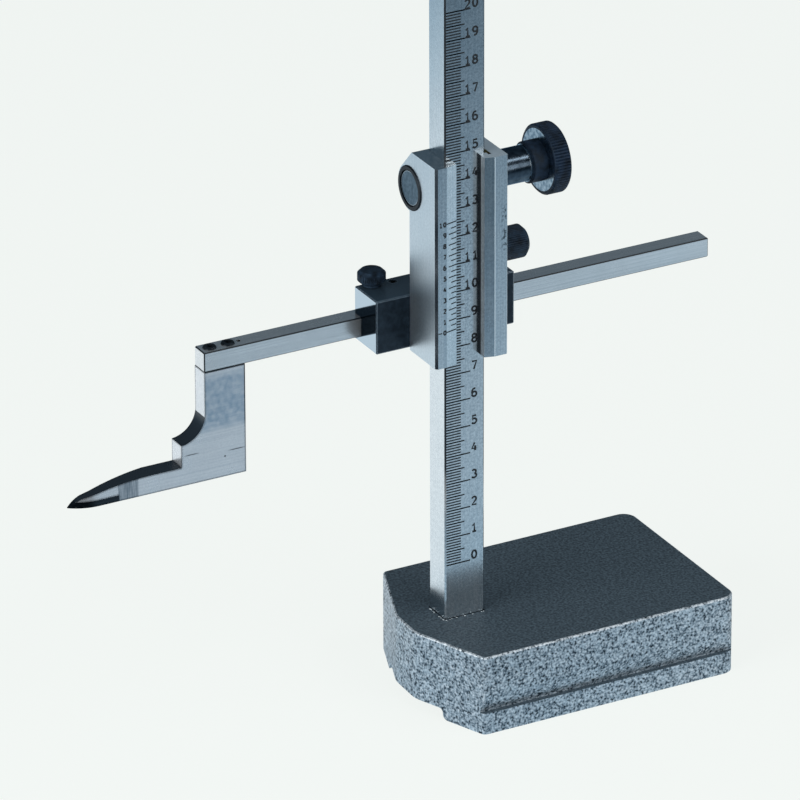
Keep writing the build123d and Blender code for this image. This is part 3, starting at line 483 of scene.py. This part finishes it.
def slide_chrome():
    made = streaked_steel(
        "satin_chrome_slide", "Z", "#D5E0E6", "#F4F8FA", (0.18, 0.28), 0.006 * MM, grain=0.3)
    _, tree, _, colour = made
    left = facing(tree, "-X")
    inner = both(tree, left, span(tree, "X", LIP_EDGE - 0.4 * MM, LIP_EDGE + 0.4 * MM, 0.1 * MM))
    # A dark strip in the corner behind the right lip: painted shade.
    painted_corner_shade = both(tree, inner, span(tree, "Y", *LIP_CORNER, 0.3 * MM))
    reset(made, "Metallic", painted_corner_shade, 0.0)
    reset(made, "Roughness", inner, 0.6)
    # The left side is given a lighter tone and a rougher gloss: painted light.
    side = both(tree, left, span(tree, "X", *SIDE_X, 0.1 * MM))
    reset(made, "Roughness", side, 0.4)
    colour = blend(tree, calc(tree, "MULTIPLY", side, 0.5), colour, "#D4E4EE")
    # The top of the right lip gets a tone and a low metallic of its own, which look lighter: painted light.
    top = both(tree, facing(tree, "Z"), span(tree, "X", LIP_EDGE, 15 * MM, 0.1 * MM))
    reset(made, "Metallic", top, 0.25)
    colour = blend(tree, top, colour, "#B9C8D2")
    # Two pale lines along the right lip's front edges: painted highlights.
    painted_highlight_lines = calc(
        tree, "ADD",
        span(tree, "X", RIGHT_LAND - PALE_LINE / 2, RIGHT_LAND + PALE_LINE / 2, 0.1 * MM),
        span(tree, "X", SLIDE_RIGHT - PALE_LINE, SLIDE_RIGHT + MM, 0.1 * MM))
    painted_highlight_lines = both(tree, facing(tree, "-Y", 0.6), painted_highlight_lines)
    reset(made, "Metallic", painted_highlight_lines, 0.2)
    colour = blend(tree, calc(tree, "MULTIPLY", painted_highlight_lines, 0.9), colour, "#B4C8D6")
    # The specks of rust are real marks of use.
    rust = both(tree, facing(tree, "-Y"), span(tree, "X", *RUST_X, MM), span(tree, "Z", *RUST_Z, 4 * MM),
                step_up(tree, cloud(tree, 1.3 * MM), 0.56, 0.1))
    colour = blend(tree, calc(tree, "MULTIPLY", rust, 0.8), colour, "#34444C")
    return recolour(made, blend(tree, painted_corner_shade, colour, PAINTED_SHADE_AND_SCRATCH_TONE))


satin_chrome_beam = beam_chrome()
satin_chrome_slide = slide_chrome()
print("plated finishes:", satin_chrome_beam.name, satin_chrome_slide.name)

# %% [markdown]
# ## Ground jaw
#
# The jaw is hardened, ground and then touched up by hand, so its front shows more than the bar's: a blued
# patch below the joint, a stoned facet near the point, two scratches and a pit.  Its faces that look upward
# are painted nearly black, which is painted shade, and dark lines along the top and right edges of its
# front are painted shade too.  A bevel node finds the sharp edges, and they are painted dark as the bar's
# are, as painted shade; modelled chamfers would change the CAD's shape.

# %% Ground steel of the jaw
PATCH = (107 * MM, 126 * MM)
PIT = (-77.4 * MM, 96.0 * MM, 0.45 * MM)
SCRATCHES = [
    # lowest and highest X, height
    (-75.5 * MM, -70.5 * MM, 97.6 * MM),
    (-92.0 * MM, -87.5 * MM, 99.2 * MM),
]
SCRATCH_WIDTH = 0.35 * MM
FACET = (-117.0 * MM, -109.6 * MM)
JAW_TOP = edge_of("scriber_jaw", 1, "Z")
JAW_RIGHT = edge_of("scriber_jaw", 1, "X")
PAINTED_UPPER_SHADE = "#232C34"
OUTLINE = 0.35 * MM
EDGE_REACH = 1.1 * MM


def jaw_steel():
    made = streaked_steel(
        "surface_ground_jaw", "X", "#DFE4E9", "#F8FAFC", (0.24, 0.34), 0.004 * MM, 0.75, grain=0.12)
    _, tree, _, colour = made
    front = facing(tree, "-Y")
    mottle = between(tree, cloud(tree, 1.6 * MM, 6.0), 0.3, 0.8)
    colour = blend(tree, both(tree, front, mottle, span(tree, "Z", *PATCH, 3 * MM)), colour, "#86A5BD")
    scored = between(tree, streaks(tree, "Z", 0.5 * MM, 9 * MM), 0.3, 0.9)
    colour = blend(tree, both(tree, front, scored, span(tree, "X", *FACET, 0.4 * MM)), colour, "#5F7280")
    # Dark lines along the top and right edges of the front are painted shade; the scratches and the pit are
    # marks of use.
    top_edge_shade = span(tree, "Z", JAW_TOP - OUTLINE, JAW_TOP + MM, 0.1 * MM)
    side = both(tree, span(tree, "X", JAW_RIGHT - OUTLINE, JAW_RIGHT + MM, 0.1 * MM),
                span(tree, "Z", PATCH[0], JAW_TOP, 2 * MM))
    across = calc(tree, "SUBTRACT", coordinate(tree, "X"), PIT[0])
    up = calc(tree, "SUBTRACT", coordinate(tree, "Z"), PIT[1])
    distance = calc(tree, "ADD", calc(tree, "ABSOLUTE", across, 0), calc(tree, "ABSOLUTE", up, 0))
    marks = calc(tree, "LESS_THAN", distance, PIT[2])
    for low, high, height in SCRATCHES:
        scratch = both(tree, span(tree, "X", low, high, 2 * MM),
                       span(tree, "Z", height, height + SCRATCH_WIDTH, 0.1 * MM))
        marks = calc(tree, "MAXIMUM", marks, scratch)
    outline = both(tree, front, calc(tree, "MAXIMUM", calc(tree, "MAXIMUM", top_edge_shade, side), marks))
    colour = blend(tree, calc(tree, "MULTIPLY", outline, 0.8), colour, PAINTED_SHADE_AND_SCRATCH_TONE)
    # Faces that look upward are painted nearly black and dull: painted shade.
    scale = both(tree, facing(tree, "Z", 0.15), span(tree, "X", -140 * MM, JAW_RIGHT - 4 * MM, MM))
    reset(made, "Metallic", scale, 0.2)
    colour = blend(tree, scale, colour, PAINTED_UPPER_SHADE)
    # Sharp edges are painted dark: painted shade.
    edge = sharp_edge(tree, EDGE_REACH)
    return recolour(made, blend(tree, calc(tree, "MULTIPLY", edge, 0.85), colour, PAINTED_SHADE_AND_SCRATCH_TONE))


ground_jaw = jaw_steel()
print("steel finishes:", [m.name for m in bpy.data.materials if "ground" in m.name or "satin" in m.name])

# %% [markdown]
# ## Black oxide
#
# Knobs, screws and the holder are blackened steel: a thin skin of magnetite that is nearly black
# with a blue cast.  On the turned knobs it is satin.  One function makes them all, since only the
# tones and the gloss change from piece to piece, and the bush is polished metal.

# %% Black oxide skin
OXIDE_GLOSS = "#BFD0E0"


def black_oxide(name, dark, light, roughness, metallic=0.0):
    """Blackened steel: nearly black, with faint blotches in colour and gloss."""
    material, tree, shader = new_material(name)
    blotches = cloud(tree, 2.5 * MM, 4.0)
    colour = ramp(tree, blotches, [(0.35, dark), (0.68, light)])
    tree.links.new(colour, shader.inputs["Base Color"])
    tree.links.new(between(tree, blotches, *roughness), shader.inputs["Roughness"])
    shader.inputs["Metallic"].default_value = metallic
    shader.inputs["Specular Tint"].default_value = linear(OXIDE_GLOSS)
    grain = add(tree, "ShaderNodeBump", {"Height": cloud(tree, 0.25 * MM), "Distance": 0.01 * MM})
    tree.links.new(grain.outputs[0], shader.inputs["Normal"])
    return material, tree, shader, colour


print("colour of its gloss:", OXIDE_GLOSS)

# %% [markdown]
# ## Knobs and screws
#
# The drive knob was blackened and then faced on the lathe, so the side toward the slide is bright
# inside the rim.  The bright disc is a mask of the distance from the axis, which stays round at
# any size; a painted disc would need a second material and a cut in the mesh.

# %% Finishes of the knobs, bushes and screws
DRIVE_Y = (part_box("drive_knob")[0][1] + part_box("drive_knob")[1][1]) / 2
DRIVE_Z = (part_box("drive_knob")[0][2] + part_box("drive_knob")[1][2]) / 2
KNOB_FACE = 10.7 * MM


def drive_radius(tree):
    """Distance from the axis of the drive, which runs along X."""
    back = calc(tree, "SUBTRACT", coordinate(tree, "Y"), DRIVE_Y)
    up = calc(tree, "SUBTRACT", coordinate(tree, "Z"), DRIVE_Z)
    squares = calc(tree, "ADD", calc(tree, "MULTIPLY", back, back), calc(tree, "MULTIPLY", up, up))
    return calc(tree, "SQRT", squares, 0)


def drive_knob_finish():
    """The face toward the slide is turned bright inside its rim, and the rim is matt."""
    made = black_oxide("black_oxide_drive_knob", "#0F1924", "#22344A", (0.55, 0.65))
    _, tree, _, colour = made
    inside = calc(tree, "LESS_THAN", drive_radius(tree), KNOB_FACE)
    face = both(tree, facing(tree, "-X"), inside)
    bright = ramp(tree, cloud(tree, 1.5 * MM, 4.0), [(0.4, "#7B8F9D"), (0.62, "#B4C4CE")])
    reset(made, "Metallic", face, 1.0)
    reset(made, "Roughness", face, 0.24)
    return recolour(made, blend(tree, face, colour, bright))


black_oxide_knobs = black_oxide("black_oxide_turned", "#0D151E", "#26384A", (0.45, 0.58))[0]
black_oxide_drive = drive_knob_finish()
black_oxide_bush = black_oxide("black_oxide_bush", "#39444E", "#5E6C78", (0.16, 0.26), 1.0)[0]
black_oxide_screws = black_oxide("black_oxide_screws", "#0A0D10", "#1A2026", (0.35, 0.5))[0]
black_oxide_rings = black_oxide("black_oxide_rings", "#07090B", "#11161A", (0.4, 0.55))[0]
print("radius of the bright face in mm:", round(KNOB_FACE / MM, 1))

# %% [markdown]
# ## Holder of the cross bar
#
# The holder is blackened, and its two ends are ground bright afterwards to bring it to length.  Its top is
# painted lighter, which is painted light, and its sharp edges are painted pale, which are painted
# highlights.
# A mirror-bright end shows the bar that comes out of it.  The dark slanted band on the ends stands
# for that mirror image.  It is drawn in the finish and is no reflection: its slope and height fit
# the main view only, and from elsewhere it stays where it is.  It is a range of a weighted sum of
# height and depth, since a range of the height alone could only be level.

# %% Blackened holder with ground ends
END_STEEL = "#CBD8E0"
PAINTED_EDGE_HIGHLIGHT = "#8FA3B2"
BAND_TONE = "#1A222A"
BAND_RISE = 0.517
BAND_REACH = (137.5 * MM, 148.1 * MM)


def holder_finish():
    made = black_oxide("black_oxide_holder", "#121A22", "#1D2832", (0.2, 0.26))
    _, tree, _, colour = made
    end = calc(tree, "MAXIMUM", facing(tree, "-X"), facing(tree, "X"))
    edge = sharp_edge(tree, 0.5 * MM)
    # The top is painted lighter: painted light.
    colour = blend(tree, facing(tree, "Z"), colour, "#33424E")
    # Sharp edges are painted pale: painted highlights.
    colour = blend(tree, calc(tree, "MULTIPLY", edge, 0.5), colour, PAINTED_EDGE_HIGHLIGHT)
    reset(made, "Metallic", end, 1.0)
    reset(made, "Roughness", end, 0.07)
    slant = calc(tree, "ADD", coordinate(tree, "Z"),
                 calc(tree, "MULTIPLY", coordinate(tree, "Y"), BAND_RISE))
    band = calc(tree, "SUBTRACT", step_up(tree, slant, BAND_REACH[0], 0.2 * MM),
                step_up(tree, slant, BAND_REACH[1], 0.2 * MM))
    bare = blend(tree, calc(tree, "MULTIPLY", band, 0.9), END_STEEL, BAND_TONE)
    return recolour(made, blend(tree, end, colour, bare))


black_oxide_holder = holder_finish()
print("black oxide finishes:", [m.name for m in bpy.data.materials if "oxide" in m.name])

# %% [markdown]
# ## Turned journal
#
# The end of the shaft is turned and has gone a dull blue grey, and only its rim stays bright.  It
# is the streaked steel from above with blotches of a darker tone over it.

# %% Turned journal with a bright rim
JOURNAL_RIM = 5.7 * MM


def journal_steel():
    made = streaked_steel("turned_journal_steel", "Z", "#4F6372", "#7E97A8", (0.3, 0.42), 0.004 * MM)
    _, tree, _, colour = made
    mottle = between(tree, cloud(tree, 1.1 * MM, 5.0), 0.0, 0.9)
    colour = blend(tree, mottle, colour, "#36505F")
    rim = step_up(tree, drive_radius(tree), JOURNAL_RIM, 0.3 * MM)
    return recolour(made, blend(tree, rim, colour, "#B9C7D0"))


turned_steel = journal_steel()
print("bright rim starts at radius in mm:", round(JOURNAL_RIM / MM, 1))

# %% [markdown]
# ## Hammered enamel
#
# The casting is sprayed with hammertone enamel: a grey paint full of aluminium flakes that pulls into small
# dimples as it dries.  The flakes act as a rough mirror, so the upright faces are light, where they see the
# paper, and the top is dark, where it sees the room.  Here the top is painted dark, which is painted shade,
# and the rounded rim is painted light, which is a painted highlight; both are chosen by which way a face
# looks, so they stay in any light.  The dimples are cells of about two millimetres, drawn with the smooth
# Voronoi pattern, and specks of less than a millimetre lie on them.

# %% Hammertone enamel for the casting
DIMPLE = 2.2 * MM
SPECK = 0.85 * MM
TOP_LEAST = 0.97
RIM_LEAST = 0.2


def hammertone(name):
    material, tree, shader = new_material(name)
    place = pattern_place(tree)
    dimples = add(tree, "ShaderNodeTexVoronoi", {
        "Vector": place, "Scale": 1 / DIMPLE, "Smoothness": 0.6}, feature="SMOOTH_F1").outputs["Distance"]
    specks = add(tree, "ShaderNodeTexNoise", {
        "Vector": place, "Scale": 1 / SPECK, "Detail": 1.5, "Roughness": 0.5}).outputs["Fac"]
    top = facing(tree, "Z", TOP_LEAST)
    rim = both(tree, facing(tree, "Z", RIM_LEAST), calc(tree, "SUBTRACT", 1.0, top))

    ground = ramp(tree, cloud(tree, DIMPLE, 5.0), [(0.35, "#5E707D"), (0.65, "#AFBFCA")])
    flakes = ramp(tree, specks, [(0.33, "#27323B"), (0.43, "#FFFFFF")])
    sides = blend(tree, 0.9, ground, flakes, "MULTIPLY")
    shine = calc(tree, "MAXIMUM", between(tree, specks, -0.6, 0.9), 0.0)
    sides = blend(tree, shine, sides, "#E4EDF3")
    # The rim, where faces look partly up, is painted light: painted highlight.
    sides = blend(tree, calc(tree, "MULTIPLY", rim, between(tree, specks, 0.0, 1.0)), sides, "#EEF4F8")
    # The top is painted dark: painted shade.
    roof = ramp(tree, specks, [(0.35, "#39464F"), (0.65, "#586974")])
    tree.links.new(blend(tree, top, sides, roof), shader.inputs["Base Color"])

    height = calc(tree, "ADD", dimples, specks)
    bump = add(tree, "ShaderNodeBump", {"Height": height, "Distance": 0.16 * MM})
    tree.links.new(bump.outputs[0], shader.inputs["Normal"])

    shader.inputs["Metallic"].default_value = 0.7
    shader.inputs["Roughness"].default_value = 0.5
    made = (material, tree, shader, None)
    reset(made, "Metallic", top, 0.15)
    reset(made, "Roughness", top, 0.6)
    return material


hammertone_enamel = hammertone("hammertone_enamel")
print("enamel dimples per centimetre:", round(10 * MM / DIMPLE))

# %% [markdown]
# ## Brass and carbide
#
# The gib strip and the two pads are brass, so that they wear instead of the beam.  The scriber's
# point is a brazed insert of ground tungsten carbide, darker and harder than the jaw.

# %% Brass and carbide
milled_brass = streaked_steel(
    "milled_brass", "Z", "#B08D45", "#D2B063", (0.28, 0.4), 0.004 * MM)[0]
ground_carbide = streaked_steel(
    "ground_carbide", "X", "#262C31", "#474E54", (0.25, 0.35), 0.003 * MM)[0]
print("inserts:", milled_brass.name, ground_carbide.name)

# %% [markdown]
# ## Dress the CAD nodes
#
# Each CAD node keeps its shape and takes one finish.  A table of names is shorter to read and to
# correct than a line of code for each piece, and what is missing from it is printed.

# %% Give every node its finish
FINISHES = {
    "base": hammertone_enamel,
    "beam": satin_chrome_beam,
    "slide_body": satin_chrome_slide,
    "rack": ground_rack, "pinion_shaft": turned_steel, "drive_washer": turned_steel,
    "cross_bar": ground_bar, "scriber_jaw": ground_jaw, "carbide_tip": ground_carbide,
    "gib_strip": milled_brass, "lock_pad": milled_brass, "clamp_pad": milled_brass,
    "bar_holder": black_oxide_holder,
    "left_bush": black_oxide_rings, "right_bush": black_oxide_bush,
    "drive_knob": black_oxide_drive, "lock_screw": black_oxide_knobs,
    "bar_clamp_screw": black_oxide_knobs,
    "beam_screws": black_oxide_screws, "rack_screws": black_oxide_screws,
    "stop_screw": black_oxide_screws, "gib_screws": black_oxide_screws,
    "knob_screw": black_oxide_screws, "holder_screws": black_oxide_screws,
    "bar_grub_screw": black_oxide_screws, "jaw_screws": black_oxide_screws,
}

for node, finish in FINISHES.items():
    NODES[node].data.materials.clear()
    NODES[node].data.materials.append(finish)
print("nodes without a finish:", sorted(set(NODES) - set(FINISHES)))

# %% [markdown]
# ## Engraved lines
#
# The scale is engraved and filled with black wax.  The lines are modelled as the filling: a thin
# raised bar for each line.  A picture of the scale would be quicker and would blur close up.  One
# line is made from a plane and pulled up into a bar with a slightly narrower top, and an array
# repeats it along the beam.  The three lengths are three arrays.

# %% Helpers for new pieces
def deselect_all():
    """Leave object mode if need be, and select nothing."""
    if bpy.context.object and bpy.context.object.mode != "OBJECT":
        bpy.ops.object.mode_set(mode="OBJECT")
    bpy.ops.object.select_all(action="DESELECT")


def only(*pieces):
    """Select these pieces alone, the first one active."""
    deselect_all()
    for piece in pieces:
        piece.select_set(True)
    bpy.context.view_layer.objects.active = pieces[0]


def join(name, pieces):
    """Join pieces into one mesh at the origin."""
    only(*pieces)
    bpy.ops.object.join()
    joined = bpy.context.object
    joined.name = name
    bpy.ops.object.transform_apply(location=True, rotation=True, scale=True)
    return joined


def finish_piece(piece, material, body):
    """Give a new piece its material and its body."""
    piece.data.materials.clear()
    piece.data.materials.append(material)
    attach(piece, body)
    print(piece.name, "faces:", len(piece.data.polygons))


print("helpers for new pieces are ready")

# %% Black filling of the engraved lines
MARK_PROUD = 0.012 * MM


def wax_filling(name):
    material, tree, shader = new_material(name)
    blotches = cloud(tree, 0.6 * MM)
    tree.links.new(ramp(tree, blotches, [(0.3, "#0B0F13"), (0.7, "#1E262D")]), shader.inputs["Base Color"])
    shader.inputs["Roughness"].default_value = 0.55
    return material


engraving_wax = wax_filling("black_engraving_wax")


def line_bar(left, right, z, face_y, width):
    """One filled line on a face that looks to -Y: a plane shaped into a thin bar."""
    deselect_all()
    middle = ((left + right) / 2, face_y, z)
    bpy.ops.mesh.primitive_plane_add(size=1, location=middle, rotation=(math.pi / 2, 0, 0))
    bar = bpy.context.object
    bar.scale = (right - left, width, 1)
    bpy.ops.object.transform_apply(location=True, rotation=True, scale=True)
    bpy.ops.object.mode_set(mode="EDIT")
    bpy.ops.mesh.select_all(action="SELECT")
    bpy.ops.mesh.extrude_region_move(TRANSFORM_OT_translate={"value": (0, -MARK_PROUD, 0)})
    bpy.ops.transform.resize(value=(0.995, 1, 0.8))
    bpy.ops.object.mode_set(mode="OBJECT")
    return bar


def repeat_up(piece, step, count):
    """Copies of a piece along Z, as one mesh."""
    only(piece)
    array = piece.modifiers.new("repeat", "ARRAY")
    array.count = count
    array.use_relative_offset = False
    array.use_constant_offset = True
    array.constant_offset_displace = (0, 0, step)
    bpy.ops.object.modifier_apply(modifier=array.name)
    return piece


print("filling stands proud by mm:", round(MARK_PROUD / MM, 3))

# %% [markdown]
# ## Scale on the beam
#
# The scale has a line for every millimetre, a longer one for every fifth and the longest for every
# tenth.  Each length is one array that starts at zero, so a tenth line lies over a short one; this
# is simpler than leaving places out, and the black filling hides it.

# %% Lines of the scale
SCALE_ZERO = 48.9 * MM
SCALE_LENGTH_MM = 200
BEAM_FACE = edge_of("beam", 0, "Y")
BEAM_LEFT = edge_of("beam", 0, "X")
BEAM_RIGHT = edge_of("beam", 1, "X")
LINE_START = BEAM_LEFT + 0.5 * MM
LINE_ENDS = {1: -1.5 * MM, 5: -0.1 * MM, 10: 2.1 * MM}
LINE_WIDTH = 0.5 * MM

scale_lines = []
for step, end in LINE_ENDS.items():
    first = line_bar(LINE_START, end, SCALE_ZERO, BEAM_FACE, LINE_WIDTH)
    scale_lines.append(repeat_up(first, step * MM, SCALE_LENGTH_MM // step + 1))
beam_scale_lines = join("beam_scale_lines", scale_lines)
finish_piece(beam_scale_lines, engraving_wax, "stand")

# %% [markdown]
# ## Engraved figures
#
# The figures are cut by a small round-nosed cutter that follows a path, so every stroke has the
# same width.  Each figure here is the path of that cutter, drawn as straight runs and bows inside
# a unit square.  A curve with a round bevel follows the path, is turned into a mesh and is pressed
# flat, and the result is the filling of one figure.

# %% Paths of the ten figures
def bow(x, y, width, height, start, end):
    """Points every 30 degrees along an ellipse, angles in degrees from +X."""
    steps = max(2, round(abs(end - start) / 30))
    turns = [math.radians(start + (end - start) * i / steps) for i in range(steps + 1)]
    return [(x + width * math.cos(t), y + height * math.sin(t)) for t in turns]


SIX = bow(0.5, 0.5, 0.5, 0.5, 60, 180) + bow(0.5, 0.3, 0.5, 0.3, 180, -180)
FIGURES = {
    "0": [bow(0.5, 0.5, 0.5, 0.5, 90, 450)],
    "1": [[(0.15, 0.74), (0.55, 1.0), (0.55, 0.0)], [(0.1, 0.0), (1.0, 0.0)]],
    "2": [bow(0.48, 0.72, 0.46, 0.28, 165, -35) + [(0.02, 0.0), (1.0, 0.0)]],
    "3": [bow(0.46, 0.76, 0.44, 0.24, 150, -80), bow(0.46, 0.27, 0.54, 0.27, 80, -150)],
    "4": [[(0.6, 1.0), (0.0, 0.3), (1.0, 0.3)], [(0.72, 0.62), (0.72, 0.0)]],
    "5": [[(0.95, 1.0), (0.18, 1.0), (0.1, 0.5)] + bow(0.46, 0.32, 0.54, 0.32, 130, -150)],
    "6": [SIX],
    "7": [[(0.0, 1.0), (1.0, 1.0), (0.4, 0.0)]],
    "8": [bow(0.5, 0.77, 0.42, 0.23, -90, 270), bow(0.5, 0.27, 0.5, 0.27, 90, 450)],
    "9": [[(1 - x, 1 - y) for x, y in SIX]],
}
print("figures:", "".join(FIGURES))


# %% Cut a number into a face
def cut_number(text, left, bottom, face_y, size, stroke):
    """A number on a face that looks to -Y: size is one figure's width, height and pitch."""
    width, height, pitch = size
    path = bpy.data.curves.new("number_" + text, "CURVE")
    path.dimensions = "3D"
    path.bevel_depth = stroke / 2
    path.bevel_resolution = 1
    path.use_fill_caps = True
    for place, figure in enumerate(text):
        start = left + place * pitch
        for points in FIGURES[figure]:
            line = path.splines.new("POLY")
            line.points.add(len(points) - 1)
            for point, (x, y) in zip(line.points, points):
                point.co = (start + stroke / 2 + x * (width - stroke), 0,
                            bottom + stroke / 2 + y * (height - stroke), 1)
    number = bpy.data.objects.new("number_" + text, path)
    bpy.context.collection.objects.link(number)
    only(number)
    bpy.ops.object.convert(target="MESH")
    bpy.ops.object.mode_set(mode="EDIT")
    bpy.ops.mesh.select_all(action="SELECT")
    bpy.ops.transform.resize(value=(1, 2 * MARK_PROUD / stroke, 1), center_override=(0, 0, 0))
    bpy.ops.transform.translate(value=(0, face_y, 0))
    bpy.ops.object.mode_set(mode="OBJECT")
    return number


print("paths for the ten figures:", sum(len(paths) for paths in FIGURES.values()))

# %% [markdown]
# ## Numbers on the beam
#
# The numbers count centimetres and stand on their lines.  Numbers of one figure keep to the place
# of the units, so that the column is nearly flush on the right.

# %% Numbers on the beam
FIGURE_SIZE = (2.55 * MM, 3.75 * MM, 2.85 * MM)
FIGURE_STROKE = 0.84 * MM
TENS_LEFT = -0.3 * MM
UNITS_LEFT = 2.3 * MM

numbers = []
for number in range(SCALE_LENGTH_MM // 10 + 1):
    left = TENS_LEFT if number >= 10 else UNITS_LEFT
    foot = SCALE_ZERO + 10 * number * MM
    numbers.append(cut_number(str(number), left, foot, BEAM_FACE, FIGURE_SIZE, FIGURE_STROKE))
beam_scale_numbers = join("beam_scale_numbers", numbers)
finish_piece(beam_scale_numbers, engraving_wax, "stand")

# %% [markdown]
# ## Vernier
#
# The vernier's twenty divisions take 39 mm, so each is 0.05 mm short of two scale divisions.  Its
# lines lie on the bevel of the slide's left lip, close to the scale.  Each line is first made
# upright on the flat front and then turned about the bevel's upper edge onto the slope.

# %% Vernier on the slide
READING = 88.6 * MM
VERNIER_ZERO = SCALE_ZERO + READING
DIVISION = 1.95 * MM
DIVISIONS = 20
SLIDE_FACE = edge_of("slide_body", 0, "Y")
SLIDE_LEFT = edge_of("slide_body", 0, "X")
FLAT_END = SLIDE_LEFT + 4.1 * MM
BEVEL_RUN = 4.15 * MM
BEVEL_DROP = 1.07 * MM
BEVEL_TURN = math.atan2(BEVEL_DROP, BEVEL_RUN)
BEVEL_LENGTH = math.hypot(BEVEL_RUN, BEVEL_DROP) - 0.05 * MM
VERNIER_LINE = 0.42 * MM
VERNIER_STARTS = {1: 0.45, 2: 0.2}
VERNIER_FIGURE = (1.45 * MM, 2.1 * MM, 1.5 * MM)
VERNIER_STROKE = 0.62 * MM


def onto_bevel(piece):
    """Turn a piece from the flat front onto the bevel."""
    only(piece)
    bpy.ops.object.mode_set(mode="EDIT")
    bpy.ops.mesh.select_all(action="SELECT")
    bpy.ops.transform.rotate(value=-BEVEL_TURN, orient_axis="Z", orient_type="GLOBAL",
                             center_override=(FLAT_END, SLIDE_FACE, 0))
    bpy.ops.object.mode_set(mode="OBJECT")
    return piece


bevel_lines = []
for step, share in VERNIER_STARTS.items():
    first = line_bar(FLAT_END + share * BEVEL_LENGTH, FLAT_END + BEVEL_LENGTH, VERNIER_ZERO,
                     SLIDE_FACE, VERNIER_LINE)
    bevel_lines.append(repeat_up(onto_bevel(first), step * DIVISION, DIVISIONS // step + 1))
for count in (0, DIVISIONS):
    height = VERNIER_ZERO + count * DIVISION
    bevel_lines.append(onto_bevel(line_bar(
        FLAT_END, FLAT_END + BEVEL_LENGTH, height, SLIDE_FACE, VERNIER_LINE)))
bevel_lines.append(line_bar(
    SLIDE_LEFT + 0.9 * MM, SLIDE_LEFT + 2.3 * MM, VERNIER_ZERO, SLIDE_FACE, VERNIER_LINE))
vernier_lines = join("vernier_lines", bevel_lines)
finish_piece(vernier_lines, engraving_wax, "slide")

vernier_figures = []
for number in range(DIVISIONS // 2 + 1):
    text = str(number)
    left = FLAT_END - len(text) * VERNIER_FIGURE[2]
    foot = VERNIER_ZERO + 2 * number * DIVISION - VERNIER_FIGURE[1] / 2
    vernier_figures.append(cut_number(text, left, foot, SLIDE_FACE, VERNIER_FIGURE, VERNIER_STROKE))
vernier_numbers = join("vernier_numbers", vernier_figures)
finish_piece(vernier_numbers, engraving_wax, "slide")

# %% [markdown]
# ## Sealant at the foot of the beam
#
# The joint between the beam and the casting is sealed.  A little of the sealant crept out and
# dried to small beads, pale where dust sticks to them and dark elsewhere.  The line is a curve
# with a round bevel that runs around the foot.  Every third bead lies in front of the beam and
# the others lie at its left; their places come from seeded random numbers and never change.

# %% Line of sealant
BASE_TOP = edge_of("base", 1, "Z")
BEAM_BACK = edge_of("beam", 1, "Y")
SEAL_WIDTH = 0.5 * MM
DROP_COUNT = 40
DROP_SIZES = (0.12 * MM, 0.3 * MM)
FRONT_EVERY = 3

seal_path = bpy.data.curves.new("foot_seal", "CURVE")
seal_path.dimensions = "3D"
seal_path.bevel_depth = SEAL_WIDTH / 2
seal_path.bevel_resolution = 2
seal_ring = seal_path.splines.new("POLY")
corners = [(BEAM_LEFT, BEAM_FACE), (BEAM_RIGHT, BEAM_FACE), (BEAM_RIGHT, BEAM_BACK), (BEAM_LEFT, BEAM_BACK)]
seal_ring.points.add(len(corners) - 1)
for point, (x, y) in zip(seal_ring.points, corners):
    point.co = (x, y, BASE_TOP, 1)
seal_ring.use_cyclic_u = True
foot_seal = bpy.data.objects.new("foot_seal", seal_path)
bpy.context.collection.objects.link(foot_seal)
only(foot_seal)
bpy.ops.object.convert(target="MESH")
dried_sealant = black_oxide_rings.copy()
dried_sealant.name = "dried_black_sealant"
finish_piece(foot_seal, dried_sealant, "stand")

# %% Dried beads

chance = random.Random(7)


def residue_drop(x, y, size):
    """One flattened drop standing on the casting."""
    deselect_all()
    bpy.ops.mesh.primitive_ico_sphere_add(subdivisions=1, radius=size, location=(x, y, BASE_TOP))
    drop = bpy.context.object
    drop.scale = (1.0 + 0.6 * chance.random(), 1.0, 0.7)
    bpy.ops.object.transform_apply(location=True, rotation=True, scale=True)
    return drop


drops = []
for count in range(DROP_COUNT):
    size = chance.uniform(*DROP_SIZES)
    reach = SEAL_WIDTH / 2 + size + chance.random() * 0.3 * MM
    if count % FRONT_EVERY:
        drops.append(residue_drop(BEAM_LEFT - reach, chance.uniform(BEAM_FACE, BEAM_BACK), size))
    else:
        along = BEAM_LEFT + (BEAM_RIGHT - BEAM_LEFT) * chance.random() ** 2
        drops.append(residue_drop(along, BEAM_FACE - reach, size))


def dried_residue(name):
    material, tree, shader = new_material(name)
    colour = ramp(tree, cloud(tree, 0.8 * MM), [(0.4, "#2A343C"), (0.5, "#DCE6EA")])
    tree.links.new(colour, shader.inputs["Base Color"])
    shader.inputs["Roughness"].default_value = 0.35
    return material


sealant_drops = join("sealant_drops", drops)
finish_piece(sealant_drops, dried_residue("dried_sealant_residue"), "stand")
